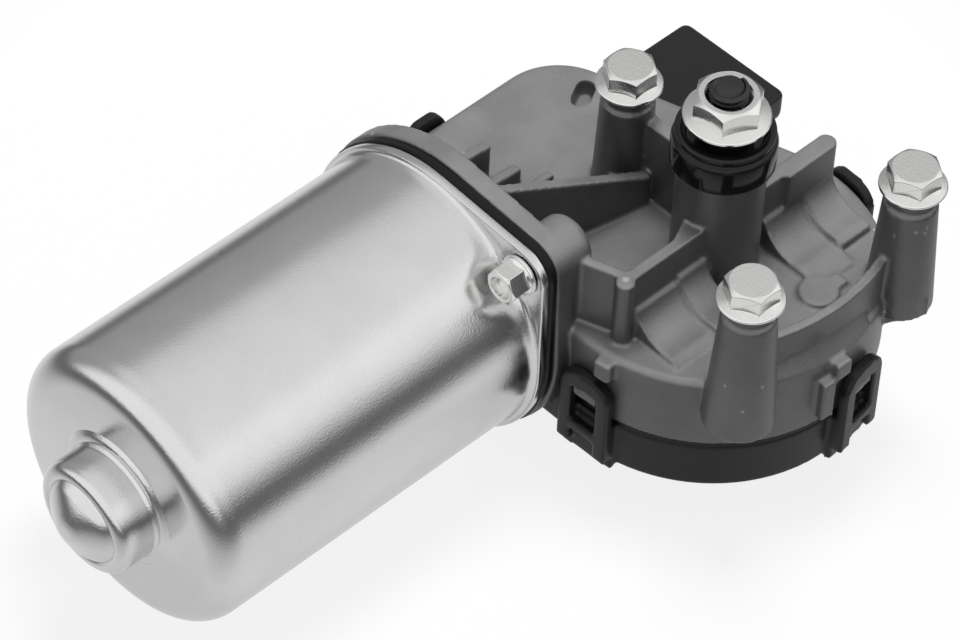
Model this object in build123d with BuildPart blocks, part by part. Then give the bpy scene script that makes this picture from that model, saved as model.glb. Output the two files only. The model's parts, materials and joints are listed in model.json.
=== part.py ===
# Wiper motor: a can-type DC motor with a worm drive, its gear housing and the clipped gear cover.
# The output shaft stands along Z at X = Y = 0, the motor lies along X towards minus X,
# and Z = 0 is the flat underside of the gear cover. Sizes are in millimetres.
import math
import os

from build123d import *

os.makedirs("parts", exist_ok=True)

# Gear train
MODULE = 1.0
WHEEL_TEETH = 66
WHEEL_WIDTH = 8.0
WORM_PITCH_RADIUS = 5.5
WORM_TURNS = 7                # odd, so that a thread space faces the wheel's centre tooth
TOOTH_BACKLASH = 0.15         # taken off each tooth and off the thread, at the pitch line
ADDENDUM = 0.9
DEDENDUM = 1.15
FLANK_ANGLE = 20.0
LEAD = math.pi * MODULE
WHEEL_PITCH_RADIUS = MODULE * WHEEL_TEETH / 2
CENTRE_DISTANCE = WHEEL_PITCH_RADIUS + WORM_PITCH_RADIUS
WHEEL_TIP_RADIUS = WHEEL_PITCH_RADIUS + ADDENDUM
WHEEL_ROOT_RADIUS = WHEEL_PITCH_RADIUS - DEDENDUM
WORM_TIP_RADIUS = WORM_PITCH_RADIUS + ADDENDUM
WORM_ROOT_RADIUS = WORM_PITCH_RADIUS - DEDENDUM
LEAD_ANGLE = math.degrees(math.atan(LEAD / (2 * math.pi * WORM_PITCH_RADIUS)))

# Motor axis
AXIS_Y = CENTRE_DISTANCE
AXIS_Z = 22.6

# Clearances and fits
RUNNING_FIT = 0.03            # radial, shaft in bush
GEAR_ROOM = 0.4               # wheel tip or worm tip to the casting
FACE_GAP = 0.3                # between turning and standing faces

# Gear housing, die-cast
HOUSING_WALL = 1.7
BOWL_INNER_RADIUS = WHEEL_TIP_RADIUS + GEAR_ROOM
BOWL_RADIUS = BOWL_INNER_RADIUS + HOUSING_WALL
HOUSING_BOTTOM_Z = 14.2
ROOF_THICKNESS = 2.0
TUNNEL_RADIUS = WORM_TIP_RADIUS + GEAR_ROOM + 0.1
ROOF_Z = AXIS_Z + TUNNEL_RADIUS + ROOF_THICKNESS
CAVITY_TOP_Z = ROOF_Z - ROOF_THICKNESS
BAY_BACK_Y = 65.2
BAY_CORNER_RADIUS = 15.0
BAY_CORNER_X = 6.5
BAY_WALL = 2.2
ROOF_FILLET = 1.6
RIB_THICKNESS = 2.6
RIB_TOP_Z = 48.0
RIB_Y = -3.0
RIB_LEFT_X = -28.0
RIB_STEP_X = 15.0
RIB_STEP = 0.8
RIB_RIGHT_X = 29.5
RIB_RETURN_X = -34.0
RIB_RETURN_Y = 9.0
RIB_POST_X = -30.2
RIB_POST_RADIUS = 2.0
BRANCH_THICKNESS = 1.2
GUSSET_HIGH_Z = 54.3
GUSSET_LOW_Z = 39.3
GUSSET_LENGTH = 37.8
REAR_WEB_X = 3.6
REAR_WEB_THICKNESS = 3.2
REAR_WEB_TOP_Z = 51.4
SHELF_Z = 38.0
ARC_WALL_TOP_Z = 42.0
LEDGE_START = -118.0
LEDGE_SWEEP = 44.0
LEDGE_TOP_Z = 36.5
SCOOP_TOP_Z = 39.0
SCOOP_LOW_Z = 32.8
SCOOP_RUNS = [14.0, 18.0, 18.0, 14.0]
SCOOPS = [(-28.0, -16.0, 0.0), (-16.0, -8.0, 1.2), (9.0, 20.0, 0.0), (20.0, 29.0, 1.2)]
RECESS_DEPTH = 1.4
ROUND_RECESS = (8.1, -21.8)
ROUND_RECESS_RADIUS = 4.2
SLOT_RECESS = (13.8, 51.1)
SLOT_RECESS_LENGTH = 8.0
SLOT_RECESS_WIDTH = 4.0
SLOT_RECESS_ANGLE = 28.0

# Motor can across its axis, and what fits round and inside it
CAN_RADIUS = 31.1
CAN_WALL = 1.7
CAN_BORE_RADIUS = CAN_RADIUS - CAN_WALL
CAN_FLANGE_WIDTH = 1.6
CAN_FLANGE_RADIUS = CAN_RADIUS + CAN_FLANGE_WIDTH
SPIGOT_FIT = 0.1
SPIGOT_RADIUS = CAN_BORE_RADIUS - SPIGOT_FIT
MAGNET_THICKNESS = 5.2
AIR_GAP = 0.7
ARMATURE_RADIUS = CAN_BORE_RADIUS - MAGNET_THICKNESS - AIR_GAP

# Motor flange on the housing, with two ears
FLANGE_FACE_X = -39.5
FLANGE_THICKNESS = 4.5
FLANGE_MARGIN = 0.8            # shows round the can's flange
FLANGE_RADIUS = CAN_FLANGE_RADIUS + FLANGE_MARGIN
EAR_RADIUS = 6.5
EAR_STANDOFF = 4.4             # from the can's wall to the screw's axis
EAR_DISTANCE = CAN_RADIUS + EAR_STANDOFF
EAR_ANGLE = 136.8
EAR_BOSS_RADIUS = 6.5
EAR_BOSS_LENGTH = 6.5
EAR_BOSS_CORNER = 2.4
FLANGE_WEB = 3.0
SPIGOT_WALL = 3.5
BEARING_WALL = 3.0
FLANGE_BACK_X = FLANGE_FACE_X + FLANGE_THICKNESS
FLANGE_GUSSETS = [(-18.4, 47.3, 10.6), (-14.2, 42.3, 5.0)]
SPIGOT_LENGTH = 2.0            # into the can, past its mouth
EAR_SCREW_RADIUS = 2.5
EAR_SCREW_LENGTH = 8.6         # ends just inside the flange's back
EAR_SCREW_FLANGE_RADIUS = 4.9

# Shaft tower and output shaft
TOWER_RADIUS = 9.2
TOWER_TOP_Z = 63.0
SHAFT_RADIUS = 5.0
THREAD_RADIUS = 4.0
SHAFT_TIP_Z = 79.9
BUSH_RADIUS = 7.0
BUSH_LENGTH = 9.0
NUT_SEAT_Z = 71.4

# Mounting bosses: B1 at the front, B2 on the right and B3 at the back
SEAT_Z = 54.0                 # shoulder that the bracket lies on
SPIGOT_HEIGHT = 4.0
BOSS_TOP_RADIUS = 5.7
BOSS_SPIGOT_RADIUS = 4.8
BOLT_CENTRES = [(-22.7, -29.55), (23.75, -29.85), (2.4, 28.45)]
BOSS_FOOT_RADII = [7.6, 7.3, 6.4]
BOSS_FOOT_Z = [24.0, 26.0, ROOF_Z - 1.0]
BOLT_RADIUS = 3.0
BOLT_LENGTH = 20.0
BOLT_HEX = 10.0
BOLT_HEX_ANGLES = [0.0, -4.0, -2.0]
BOLT_FLANGE_RADIUS = 7.0

# Motor can along its axis
CAN_END_X = -127.0
CAN_CORNER = 6.3
GASKET_THICKNESS = 2.0
CAN_FLANGE_THICKNESS = 2.2
END_BOSS_RADIUS = 12.6
END_BOSS_STEP_RADIUS = 14.6
END_BOSS_LENGTH = 9.6
END_BOSS_CORNER = 2.4
END_DOME_RADIUS = 9.2
END_DOME_LENGTH = 4.0
DOME_GROOVE = 0.3
GASKET_FACE_X = FLANGE_FACE_X - GASKET_THICKNESS
CAN_MOUTH_X = GASKET_FACE_X - CAN_FLANGE_THICKNESS
SPIGOT_END_X = CAN_MOUTH_X - SPIGOT_LENGTH

# Ball bearing at the front of the can, and the front journal's bush
BEARING_RADIUS = 11.0
BEARING_WIDTH = 7.0
BEARING_FRONT_X = -36.5
BEARING_REAR_X = BEARING_FRONT_X - BEARING_WIDTH
BALLS = 7
TUNNEL_END_X = 13.0
FRONT_BUSH_RADIUS = 5.0
FRONT_BUSH_LENGTH = 7.0
END_PLAY_SCREW_LENGTH = 4.0

# Armature
SHAFT_R = 4.0
FRONT_JOURNAL_R = 3.0
COMMUTATOR_RADIUS = 11.5
COMMUTATOR_LENGTH = 12.0
COMMUTATOR_STANDOFF = 5.5      # from the ball bearing
COMMUTATOR_BARS = 12
COMMUTATOR_FRONT_X = BEARING_REAR_X - COMMUTATOR_STANDOFF
COMMUTATOR_REAR_X = COMMUTATOR_FRONT_X - COMMUTATOR_LENGTH
WINDING_OVERHANG = 6.0
WINDING_STEP = 2.0             # the coils' ends lie this far inside the core
WINDING_RADIUS = ARMATURE_RADIUS - WINDING_STEP
CONNECTION_ROOM = 1.0          # between the coils' ends and the commutator
CORE_END_ROOM = 15.0           # between the can's end wall and the core
CORE_REAR_X = CAN_END_X + CORE_END_ROOM
CORE_FRONT_X = COMMUTATOR_REAR_X - CONNECTION_ROOM - WINDING_OVERHANG
SLOTS = 12
SLOT_DEPTH = 4.9               # to the middle of a slot

# Gear cover, moulded
COVER_FLOOR = 2.5
COVER_WALL = 2.2
COVER_TOP_Z = 12.8
CLIP_WIDTH = 13.0
CLIP_THICKNESS = 2.4
CLIP_CORNER = 5.0
CLIP_BOTTOM_Z = 3.5
CLIP_TOP_Z = [24.5, 24.5, 32.0, 24.5]
CLIP_WINDOW = 6.6
CLIP_WINDOW_HEIGHT = 10.0
CLIP_NOTCH_TOP_Z = 7.5
CLIP_ANGLES = [183.0, 279.0, 354.0]
BACK_CLIP_X = -11.0
CLIP_LUG_Z = 20.0
CLIP_GAP = 0.3
LUG_HEIGHT = 2.4
CLIP_GUIDES = [(188.5, 4.0, 26.4, 31.0), (268.0, 4.0, 26.6, 31.0), (262.5, 3.0, 17.0, 27.2)]
GUIDE_HEIGHT = 2.4

# Connector
CONNECTOR_TIP_X = 47.5
CONNECTOR_TOP_Z = 29.0
CONNECTOR_HEIGHT = 8.5
CONNECTOR_FRONT_Y = 24.0
CONNECTOR_BACK_Y = 53.5
CONNECTOR_WALL = 1.8
CONNECTOR_CORNER = 2.0
CONNECTOR_ROOT_X = 18.0
SOCKET_DEPTH = 12.0
PAD_X = 35.0
PIN_COUNT = 5
PIN_PITCH = 4.6
PIN_LENGTH = 7.5

MOTOR_YZ = Plane(origin=(0, AXIS_Y, AXIS_Z), x_dir=(0, 1, 0), z_dir=(1, 0, 0))


def motor_plane(x):
    """A plane across the motor axis at x: its x runs along Y and its y along Z."""
    return MOTOR_YZ.offset(x)


def save(piece, name):
    """Label a finished piece and write its file."""
    piece.part.label = name
    export_step(piece.part, f"parts/{name}.step")


def clip_plane(angle):
    """An upright plane on the bowl's wall: its x runs along the wall and its y upwards."""
    outward = (math.cos(math.radians(angle)), math.sin(math.radians(angle)), 0)
    along = (-outward[1], outward[0], 0)
    return Plane(origin=(BOWL_RADIUS * outward[0], BOWL_RADIUS * outward[1], 0), x_dir=along, z_dir=outward)


CLIP_PLANES = [clip_plane(angle) for angle in CLIP_ANGLES]
CLIP_PLANES.append(Plane(origin=(BACK_CLIP_X, BAY_BACK_Y, 0), x_dir=(-1, 0, 0), z_dir=(0, 1, 0)))


def body_outline(inset=0.0):
    """Outline of bowl and bay seen from above, moved inwards by inset."""
    with BuildSketch() as outline:
        with BuildLine() as rim:
            CenterArc((0, 0), BOWL_RADIUS - inset, 0, 360)
        with BuildLine() as corner:
            CenterArc((BAY_CORNER_X, BAY_BACK_Y - BAY_CORNER_RADIUS), BAY_CORNER_RADIUS - inset, 0, 360)
        with BuildLine() as left:
            Line((FLANGE_BACK_X + inset, 0), (FLANGE_BACK_X + inset, BAY_BACK_Y - inset))
        make_hull(rim.edges() + corner.edges() + left.edges())
    return outline.sketch


def flange_outline(radius):
    """Round flange with two opposite screw ears, on the motor axis."""
    ear_x = EAR_DISTANCE * math.cos(math.radians(EAR_ANGLE))
    ear_y = EAR_DISTANCE * math.sin(math.radians(EAR_ANGLE))
    with BuildSketch() as outline:
        with BuildLine() as edges:
            CenterArc((0, 0), radius, 0, 360)
            CenterArc((ear_x, ear_y), EAR_RADIUS, 0, 360)
            CenterArc((-ear_x, -ear_y), EAR_RADIUS, 0, 360)
        make_hull(edges.edges())
    return outline.sketch


GUSSET_PLANE = Plane(origin=(FLANGE_BACK_X - 1, 27.5, 0), x_dir=(0.981, -0.193, 0), z_dir=(0.193, 0.981, 0))

EAR_POINTS = [
    (EAR_DISTANCE * math.cos(math.radians(EAR_ANGLE)), EAR_DISTANCE * math.sin(math.radians(EAR_ANGLE))),
    (-EAR_DISTANCE * math.cos(math.radians(EAR_ANGLE)), -EAR_DISTANCE * math.sin(math.radians(EAR_ANGLE))),
]


# Arched boss behind the upper ear, from the flange down to the roof, with a rounded end
ear_boss_drop = EAR_POINTS[0][1] + AXIS_Z - CAVITY_TOP_Z
with BuildPart() as ear_boss:
    with BuildSketch(motor_plane(FLANGE_FACE_X)):
        with Locations(EAR_POINTS[0]):
            Circle(EAR_BOSS_RADIUS)
        with Locations((EAR_POINTS[0][0], EAR_POINTS[0][1] - ear_boss_drop / 2)):
            Rectangle(2 * EAR_BOSS_RADIUS, ear_boss_drop)
    extrude(amount=FLANGE_THICKNESS + EAR_BOSS_LENGTH)
    fillet(ear_boss.faces().sort_by(Axis.X)[-1].edges().sort_by(Axis.Z)[1:], EAR_BOSS_CORNER)

# Gear housing: bowl and bay, flange, tower, bosses, ribs, then the spaces inside
rib_front_y = RIB_Y - RIB_THICKNESS / 2
rib_back_y = RIB_Y + RIB_THICKNESS / 2
with BuildPart() as gear_housing:
    # Bowl and bay
    with BuildSketch(Plane.XY.offset(HOUSING_BOTTOM_Z)):
        add(body_outline())
    extrude(amount=ROOF_Z - HOUSING_BOTTOM_Z)
    roof_edges = gear_housing.faces().sort_by(Axis.Z)[-1].edges()
    fillet(roof_edges, ROOF_FILLET)

    # Motor flange with its ear boss and the spigot in the can
    with BuildSketch(motor_plane(FLANGE_FACE_X)):
        add(flange_outline(FLANGE_RADIUS))
    extrude(amount=FLANGE_THICKNESS)
    with BuildSketch(motor_plane(SPIGOT_END_X)):
        Circle(SPIGOT_RADIUS)
    extrude(amount=FLANGE_BACK_X - SPIGOT_END_X)
    add(ear_boss.part)

    # Shaft tower
    with BuildSketch(Plane.XY.offset(CAVITY_TOP_Z)):
        Circle(TOWER_RADIUS)
    extrude(amount=TOWER_TOP_Z - CAVITY_TOP_Z)

    # Mounting bosses with a locating spigot on top
    for (bx, by), foot_radius, foot_z in zip(BOLT_CENTRES, BOSS_FOOT_RADII, BOSS_FOOT_Z):
        with BuildSketch(Plane.XY.offset(foot_z)):
            with Locations((bx, by)):
                Circle(foot_radius)
        with BuildSketch(Plane.XY.offset(SEAT_Z)):
            with Locations((bx, by)):
                Circle(BOSS_TOP_RADIUS)
        loft()
        with BuildSketch(Plane.XY.offset(SEAT_Z)):
            with Locations((bx, by)):
                Circle(BOSS_SPIGOT_RADIUS)
        extrude(amount=SPIGOT_HEIGHT)

    # Gusset under the right-hand boss, from its foot down to the bowl's wall
    bx, by = BOLT_CENTRES[1]
    reach = math.hypot(bx, by)
    with BuildSketch(Plane(origin=(0, 0, 0), x_dir=(bx / reach, by / reach, 0), z_dir=(by / reach, -bx / reach, 0))):
        with BuildLine():
            Polyline((BOWL_RADIUS - 1, BOSS_FOOT_Z[1] + 4), (reach + BOSS_FOOT_RADII[1] - 1, BOSS_FOOT_Z[1] + 4),
                     (reach + BOSS_FOOT_RADII[1] - 1, BOSS_FOOT_Z[1]), (BOWL_RADIUS, BOSS_FOOT_Z[1] - 4.5),
                     (BOWL_RADIUS - 1, BOSS_FOOT_Z[1] - 4.5), close=True)
        make_face()
    extrude(amount=BOSS_FOOT_RADII[1] * 0.6, both=True)

    # Transverse rib through the tower: left part, return to the ear boss, thicker right part with a round end
    with BuildSketch(Plane.XY.offset(CAVITY_TOP_Z)):
        with BuildLine():
            Polyline((RIB_LEFT_X, rib_front_y), (RIB_STEP_X, rib_front_y), (RIB_STEP_X, rib_back_y),
                     (RIB_LEFT_X, rib_back_y), close=True)
        make_face()
        with BuildLine():
            Polyline((RIB_LEFT_X - RIB_THICKNESS / 2, rib_front_y), (RIB_LEFT_X + RIB_THICKNESS / 2, rib_front_y),
                     (RIB_RETURN_X + RIB_THICKNESS, RIB_RETURN_Y), (RIB_RETURN_X, RIB_RETURN_Y), close=True)
        make_face()
        with Locations((RIB_POST_X, RIB_Y - 0.6)):
            Circle(RIB_POST_RADIUS)
        with BuildLine():
            Polyline((RIB_STEP_X, rib_front_y - RIB_STEP), (RIB_RIGHT_X - 1, rib_front_y - RIB_STEP),
                     (RIB_RIGHT_X, rib_back_y), (RIB_STEP_X, rib_back_y), close=True)
        make_face()
    extrude(amount=RIB_TOP_Z - CAVITY_TOP_Z)
    # Branch of the rib beside the tower
    with BuildSketch(Plane.XY.offset(CAVITY_TOP_Z)):
        with BuildLine():
            branch = Line((-15.2, rib_back_y - 0.8), (-7.5, 1.0))
            offset(branch, amount=BRANCH_THICKNESS / 2)
        make_face()
    extrude(amount=RIB_TOP_Z - CAVITY_TOP_Z)

    # Gusset from the top of the flange down to the shelf at the tower
    with BuildSketch(GUSSET_PLANE):
        with BuildLine():
            Polyline((0, -CAVITY_TOP_Z), (0, -GUSSET_HIGH_Z), (1, -GUSSET_HIGH_Z),
                     (GUSSET_LENGTH, -GUSSET_LOW_Z), (GUSSET_LENGTH, -CAVITY_TOP_Z), close=True)
        make_face()
    extrude(amount=RIB_THICKNESS / 2, both=True)

    # Web between the rear boss and the tower, on a thicker foot with a shelf
    with BuildSketch(Plane.XY.offset(CAVITY_TOP_Z)):
        with Locations((REAR_WEB_X, 16)):
            Rectangle(REAR_WEB_THICKNESS, 20)
    extrude(amount=REAR_WEB_TOP_Z - CAVITY_TOP_Z)
    with BuildSketch(Plane.XY.offset(CAVITY_TOP_Z)):
        with BuildLine():
            web_side = Spline((3.8, 17.4), (2.4, 13.6), (2.2, 10.7), (2.9, 8.0))
            Polyline(web_side @ 1, (6.5, 8.0), (6.5, 20.0), (4.7, 24.6), (-5.6, 26.8), (1.8, 19.7), web_side @ 0)
        make_face()
    extrude(amount=SHELF_Z - CAVITY_TOP_Z)

    # Bowed wall between the front and right bosses, with a sloped ledge down to the bowl's wall
    with BuildSketch(Plane.XY.offset(CAVITY_TOP_Z)):
        with BuildLine():
            ThreePointArc((-20.0, -28.5), (1.5, -33.4), (23.0, -28.5))
            ThreePointArc((-20.0, -26.3), (1.5, -31.2), (23.0, -26.3))
            Line((-20.0, -28.5), (-20.0, -26.3))
            Line((23.0, -28.5), (23.0, -26.3))
        make_face()
    extrude(amount=ARC_WALL_TOP_Z - CAVITY_TOP_Z)
    with BuildSketch(Plane.XZ.rotated((0, 0, LEDGE_START))):
        with BuildLine():
            Polyline((BOWL_RADIUS - 5, CAVITY_TOP_Z), (BOWL_RADIUS, CAVITY_TOP_Z), (BOWL_RADIUS, ROOF_Z - 0.5),
                     (BOWL_RADIUS - 3.2, LEDGE_TOP_Z), (BOWL_RADIUS - 5, LEDGE_TOP_Z), close=True)
        make_face()
    revolve(axis=Axis.Z, revolution_arc=LEDGE_SWEEP)

    # Scooped feet of the transverse rib, each in two steps
    for (start, end, lift), run in zip(SCOOPS, SCOOP_RUNS):
        with BuildSketch(Plane.YZ.offset(start)):
            with BuildLine():
                Line((RIB_Y, CAVITY_TOP_Z), (RIB_Y, SCOOP_TOP_Z + lift))
                Line((RIB_Y, SCOOP_TOP_Z + lift), (RIB_Y - 2.2, SCOOP_TOP_Z + lift))
                ThreePointArc((RIB_Y - 2.2, SCOOP_TOP_Z + lift), (RIB_Y - 5, SCOOP_TOP_Z - 4.2 + lift),
                              (RIB_Y - 12, SCOOP_LOW_Z + lift))
                Line((RIB_Y - 12, SCOOP_LOW_Z + lift), (RIB_Y - run, SCOOP_LOW_Z - 0.8 + lift))
                Line((RIB_Y - run, SCOOP_LOW_Z - 0.8 + lift), (RIB_Y - run, CAVITY_TOP_Z))
                Line((RIB_Y - run, CAVITY_TOP_Z), (RIB_Y, CAVITY_TOP_Z))
            make_face()
        extrude(amount=end - start)

    # Two low gussets behind the flange
    for end_x, gusset_y, height in FLANGE_GUSSETS:
        with BuildSketch(Plane.XZ.offset(-gusset_y)):
            with BuildLine():
                Polyline((FLANGE_BACK_X - 0.5, CAVITY_TOP_Z), (FLANGE_BACK_X - 0.5, ROOF_Z + height + 1),
                         (end_x, ROOF_Z + height - 1), (end_x, CAVITY_TOP_Z), close=True)
            make_face()
        extrude(amount=RIB_THICKNESS / 2, both=True)

    # Cast lugs that the cover's clips hook over, and the guides beside them
    for plane in CLIP_PLANES:
        with BuildSketch(plane.offset(-1.2)):
            with Locations((0, CLIP_LUG_Z - LUG_HEIGHT / 2)):
                Rectangle(CLIP_WINDOW - 0.6, LUG_HEIGHT)
        extrude(amount=1.2 + CLIP_GAP + CLIP_THICKNESS - 0.4)
    for angle, width, low_z, high_z in CLIP_GUIDES:
        with BuildSketch(clip_plane(angle).offset(-1.2)):
            with Locations((0, (low_z + high_z) / 2)):
                Rectangle(width, high_z - low_z)
        extrude(amount=1.2 + GUIDE_HEIGHT)

    # Bowl, bay and motor side
    with BuildSketch(Plane.XY.offset(HOUSING_BOTTOM_Z)):
        Circle(BOWL_INNER_RADIUS)
    extrude(amount=CAVITY_TOP_Z - HOUSING_BOTTOM_Z, mode=Mode.SUBTRACT)
    bay_front_y = AXIS_Y + TUNNEL_RADIUS + BAY_WALL
    with BuildSketch(Plane.XY.offset(HOUSING_BOTTOM_Z)):
        with BuildLine():
            Polyline((FLANGE_BACK_X + BAY_WALL, bay_front_y), (BAY_CORNER_X + 12, bay_front_y),
                     (BAY_CORNER_X + 10.5, BAY_BACK_Y - 8), (BAY_CORNER_X + 3, BAY_BACK_Y - BAY_WALL),
                     (FLANGE_BACK_X + BAY_WALL, BAY_BACK_Y - BAY_WALL), close=True)
        make_face()
    extrude(amount=CAVITY_TOP_Z - HOUSING_BOTTOM_Z, mode=Mode.SUBTRACT)
    spigot_depth = FLANGE_BACK_X - SPIGOT_END_X
    with BuildSketch(motor_plane(SPIGOT_END_X)):
        Circle(SPIGOT_RADIUS - SPIGOT_WALL)
        Circle(BEARING_RADIUS + BEARING_WALL, mode=Mode.SUBTRACT)
    extrude(amount=spigot_depth - FLANGE_WEB, mode=Mode.SUBTRACT)
    with BuildSketch(motor_plane(SPIGOT_END_X)):
        Circle(BEARING_RADIUS + BEARING_WALL)
    extrude(amount=BEARING_FRONT_X - BEARING_WIDTH - 1 - SPIGOT_END_X, mode=Mode.SUBTRACT)

    # Bearing seat, worm tunnel and the front journal's bore
    with BuildSketch(motor_plane(SPIGOT_END_X)):
        Circle(BEARING_RADIUS)
    extrude(amount=BEARING_FRONT_X - SPIGOT_END_X, mode=Mode.SUBTRACT)
    with BuildSketch(motor_plane(BEARING_FRONT_X - 1)):
        Circle(TUNNEL_RADIUS)
    extrude(amount=TUNNEL_END_X - BEARING_FRONT_X + 1, mode=Mode.SUBTRACT)
    with BuildSketch(motor_plane(TUNNEL_END_X)):
        Circle(FRONT_BUSH_RADIUS)
    extrude(amount=FRONT_BUSH_LENGTH + END_PLAY_SCREW_LENGTH + 6, mode=Mode.SUBTRACT)

    # Shaft bore, bolt holes and ear screw holes
    with BuildSketch(Plane.XY.offset(CAVITY_TOP_Z - 1)):
        Circle(BUSH_RADIUS)
    extrude(amount=TOWER_TOP_Z - CAVITY_TOP_Z + 2, mode=Mode.SUBTRACT)
    with BuildSketch(Plane.XY.offset(SEAT_Z + SPIGOT_HEIGHT)):
        with Locations(BOLT_CENTRES):
            Circle(BOLT_RADIUS)
    extrude(amount=-BOLT_LENGTH - 1, mode=Mode.SUBTRACT)
    with BuildSketch(motor_plane(FLANGE_FACE_X)):
        with Locations(EAR_POINTS):
            Circle(EAR_SCREW_RADIUS)
    extrude(amount=FLANGE_THICKNESS + 0.4, mode=Mode.SUBTRACT)

    # Shallow recesses in the roof
    with BuildSketch(Plane.XY.offset(ROOF_Z)):
        with Locations(ROUND_RECESS):
            Circle(ROUND_RECESS_RADIUS)
    extrude(amount=-RECESS_DEPTH, mode=Mode.SUBTRACT)
    with BuildSketch(Plane.XY.offset(ROOF_Z)):
        with Locations(Location((*SLOT_RECESS, 0), (0, 0, SLOT_RECESS_ANGLE))):
            SlotOverall(SLOT_RECESS_LENGTH, SLOT_RECESS_WIDTH)
    extrude(amount=-RECESS_DEPTH, mode=Mode.SUBTRACT)
save(gear_housing, "gear_housing")


# Half plane through the motor axis: its x runs along the axis and its y outwards
HALF_PLANE = Plane(origin=(0, AXIS_Y, AXIS_Z), x_dir=(1, 0, 0), z_dir=(0, -1, 0))
MOTOR_AXIS = Axis((0, AXIS_Y, AXIS_Z), (1, 0, 0))


def tube(x_start, x_end, outer, inner):
    """A tube or disc on the motor axis."""
    with BuildPart() as ring:
        with BuildSketch(motor_plane(x_start)):
            Circle(outer)
            if inner > 0:
                Circle(inner, mode=Mode.SUBTRACT)
        extrude(amount=x_end - x_start)
    return ring.part


def upright_ring(z_start, z_end, outer, inner):
    """A ring or disc on the output shaft's axis."""
    with BuildPart() as ring:
        with BuildSketch(Plane.XY.offset(z_start)):
            Circle(outer)
            Circle(inner, mode=Mode.SUBTRACT)
        extrude(amount=z_end - z_start)
    return ring.part


# Can: drawn steel, with a stepped boss for the rear bearing
END_BOSS_X = CAN_END_X - END_BOSS_LENGTH
END_TIP_X = END_BOSS_X - END_DOME_LENGTH
END_BOSS_FLOOR_X = END_BOSS_X + CAN_WALL
dome_depth = END_BOSS_X + DOME_GROOVE - END_TIP_X
DOME_SPHERE = (END_DOME_RADIUS ** 2 + dome_depth ** 2) / (2 * dome_depth)
dome_angle = math.degrees(math.asin(END_DOME_RADIUS / DOME_SPHERE))
with BuildPart() as motor_can:
    with BuildSketch(HALF_PLANE):
        with BuildLine():
            Polyline((END_TIP_X, 0), (GASKET_FACE_X, 0), (GASKET_FACE_X, CAN_RADIUS),
                     (CAN_END_X + CAN_CORNER, CAN_RADIUS))
            corner = CenterArc((CAN_END_X + CAN_CORNER, CAN_RADIUS - CAN_CORNER), CAN_CORNER, 90, 90)
            side = Polyline(corner @ 1, (CAN_END_X, END_BOSS_STEP_RADIUS),
                            (CAN_END_X - 0.9, END_BOSS_STEP_RADIUS - 0.6), (CAN_END_X - 0.9, END_BOSS_RADIUS),
                            (END_BOSS_X + END_BOSS_CORNER, END_BOSS_RADIUS))
            shoulder_centre = (END_BOSS_X + END_BOSS_CORNER, END_BOSS_RADIUS - END_BOSS_CORNER)
            shoulder = CenterArc(shoulder_centre, END_BOSS_CORNER, 90, 90)
            Line(shoulder @ 1, (END_BOSS_X + DOME_GROOVE, END_DOME_RADIUS))
            CenterArc((END_TIP_X + DOME_SPHERE, 0), DOME_SPHERE, 180, -dome_angle)
        make_face()
    revolve(axis=MOTOR_AXIS)
    with BuildSketch(motor_plane(CAN_MOUTH_X)):
        add(flange_outline(CAN_FLANGE_RADIUS))
    extrude(amount=CAN_FLANGE_THICKNESS)
    with BuildSketch(HALF_PLANE):
        with BuildLine():
            inner_corner = CAN_CORNER - CAN_WALL
            bend = CenterArc((CAN_END_X + CAN_CORNER, CAN_RADIUS - CAN_CORNER), inner_corner, 90, 90)
            Polyline(bend @ 1, (CAN_END_X + CAN_WALL, 0), (GASKET_FACE_X, 0), (GASKET_FACE_X, CAN_BORE_RADIUS),
                     bend @ 0)
        make_face()
    revolve(axis=MOTOR_AXIS, mode=Mode.SUBTRACT)
    add(tube(END_BOSS_FLOOR_X, CAN_END_X + CAN_WALL, END_BOSS_RADIUS - CAN_WALL, 0), mode=Mode.SUBTRACT)
    with BuildSketch(motor_plane(CAN_MOUTH_X)):
        with Locations(EAR_POINTS):
            Circle(EAR_SCREW_RADIUS)
    extrude(amount=CAN_FLANGE_THICKNESS, mode=Mode.SUBTRACT)
    # Pressed room for the screw heads
    with BuildSketch(motor_plane(CAN_MOUTH_X)):
        with Locations(EAR_POINTS):
            Circle(EAR_SCREW_FLANGE_RADIUS + 0.2)
    extrude(amount=-7, mode=Mode.SUBTRACT)
save(motor_can, "motor_can")

with BuildPart() as motor_gasket:
    with BuildSketch(motor_plane(GASKET_FACE_X)):
        add(flange_outline(CAN_FLANGE_RADIUS))
        Circle(SPIGOT_RADIUS, mode=Mode.SUBTRACT)
        with Locations(EAR_POINTS):
            Circle(EAR_SCREW_RADIUS, mode=Mode.SUBTRACT)
    extrude(amount=GASKET_THICKNESS)
save(motor_gasket, "motor_gasket")

# Two flanged hex screws through the can's ears
with BuildPart() as can_screws:
    with BuildSketch(motor_plane(CAN_MOUTH_X)):
        with Locations(EAR_POINTS):
            Circle(EAR_SCREW_FLANGE_RADIUS)
    extrude(amount=-1.2)
    with BuildSketch(motor_plane(CAN_MOUTH_X - 1.2)):
        with Locations(EAR_POINTS):
            RegularPolygon(4.0, 6, major_radius=False)
    extrude(amount=-4.0)
    with BuildSketch(motor_plane(CAN_MOUTH_X - 5.2)):
        with Locations(EAR_POINTS):
            Circle(2.6)
    extrude(amount=1.8, mode=Mode.SUBTRACT)
    with BuildSketch(motor_plane(CAN_MOUTH_X)):
        with Locations(EAR_POINTS):
            Circle(EAR_SCREW_RADIUS)
    extrude(amount=EAR_SCREW_LENGTH)
save(can_screws, "can_screws")

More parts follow.
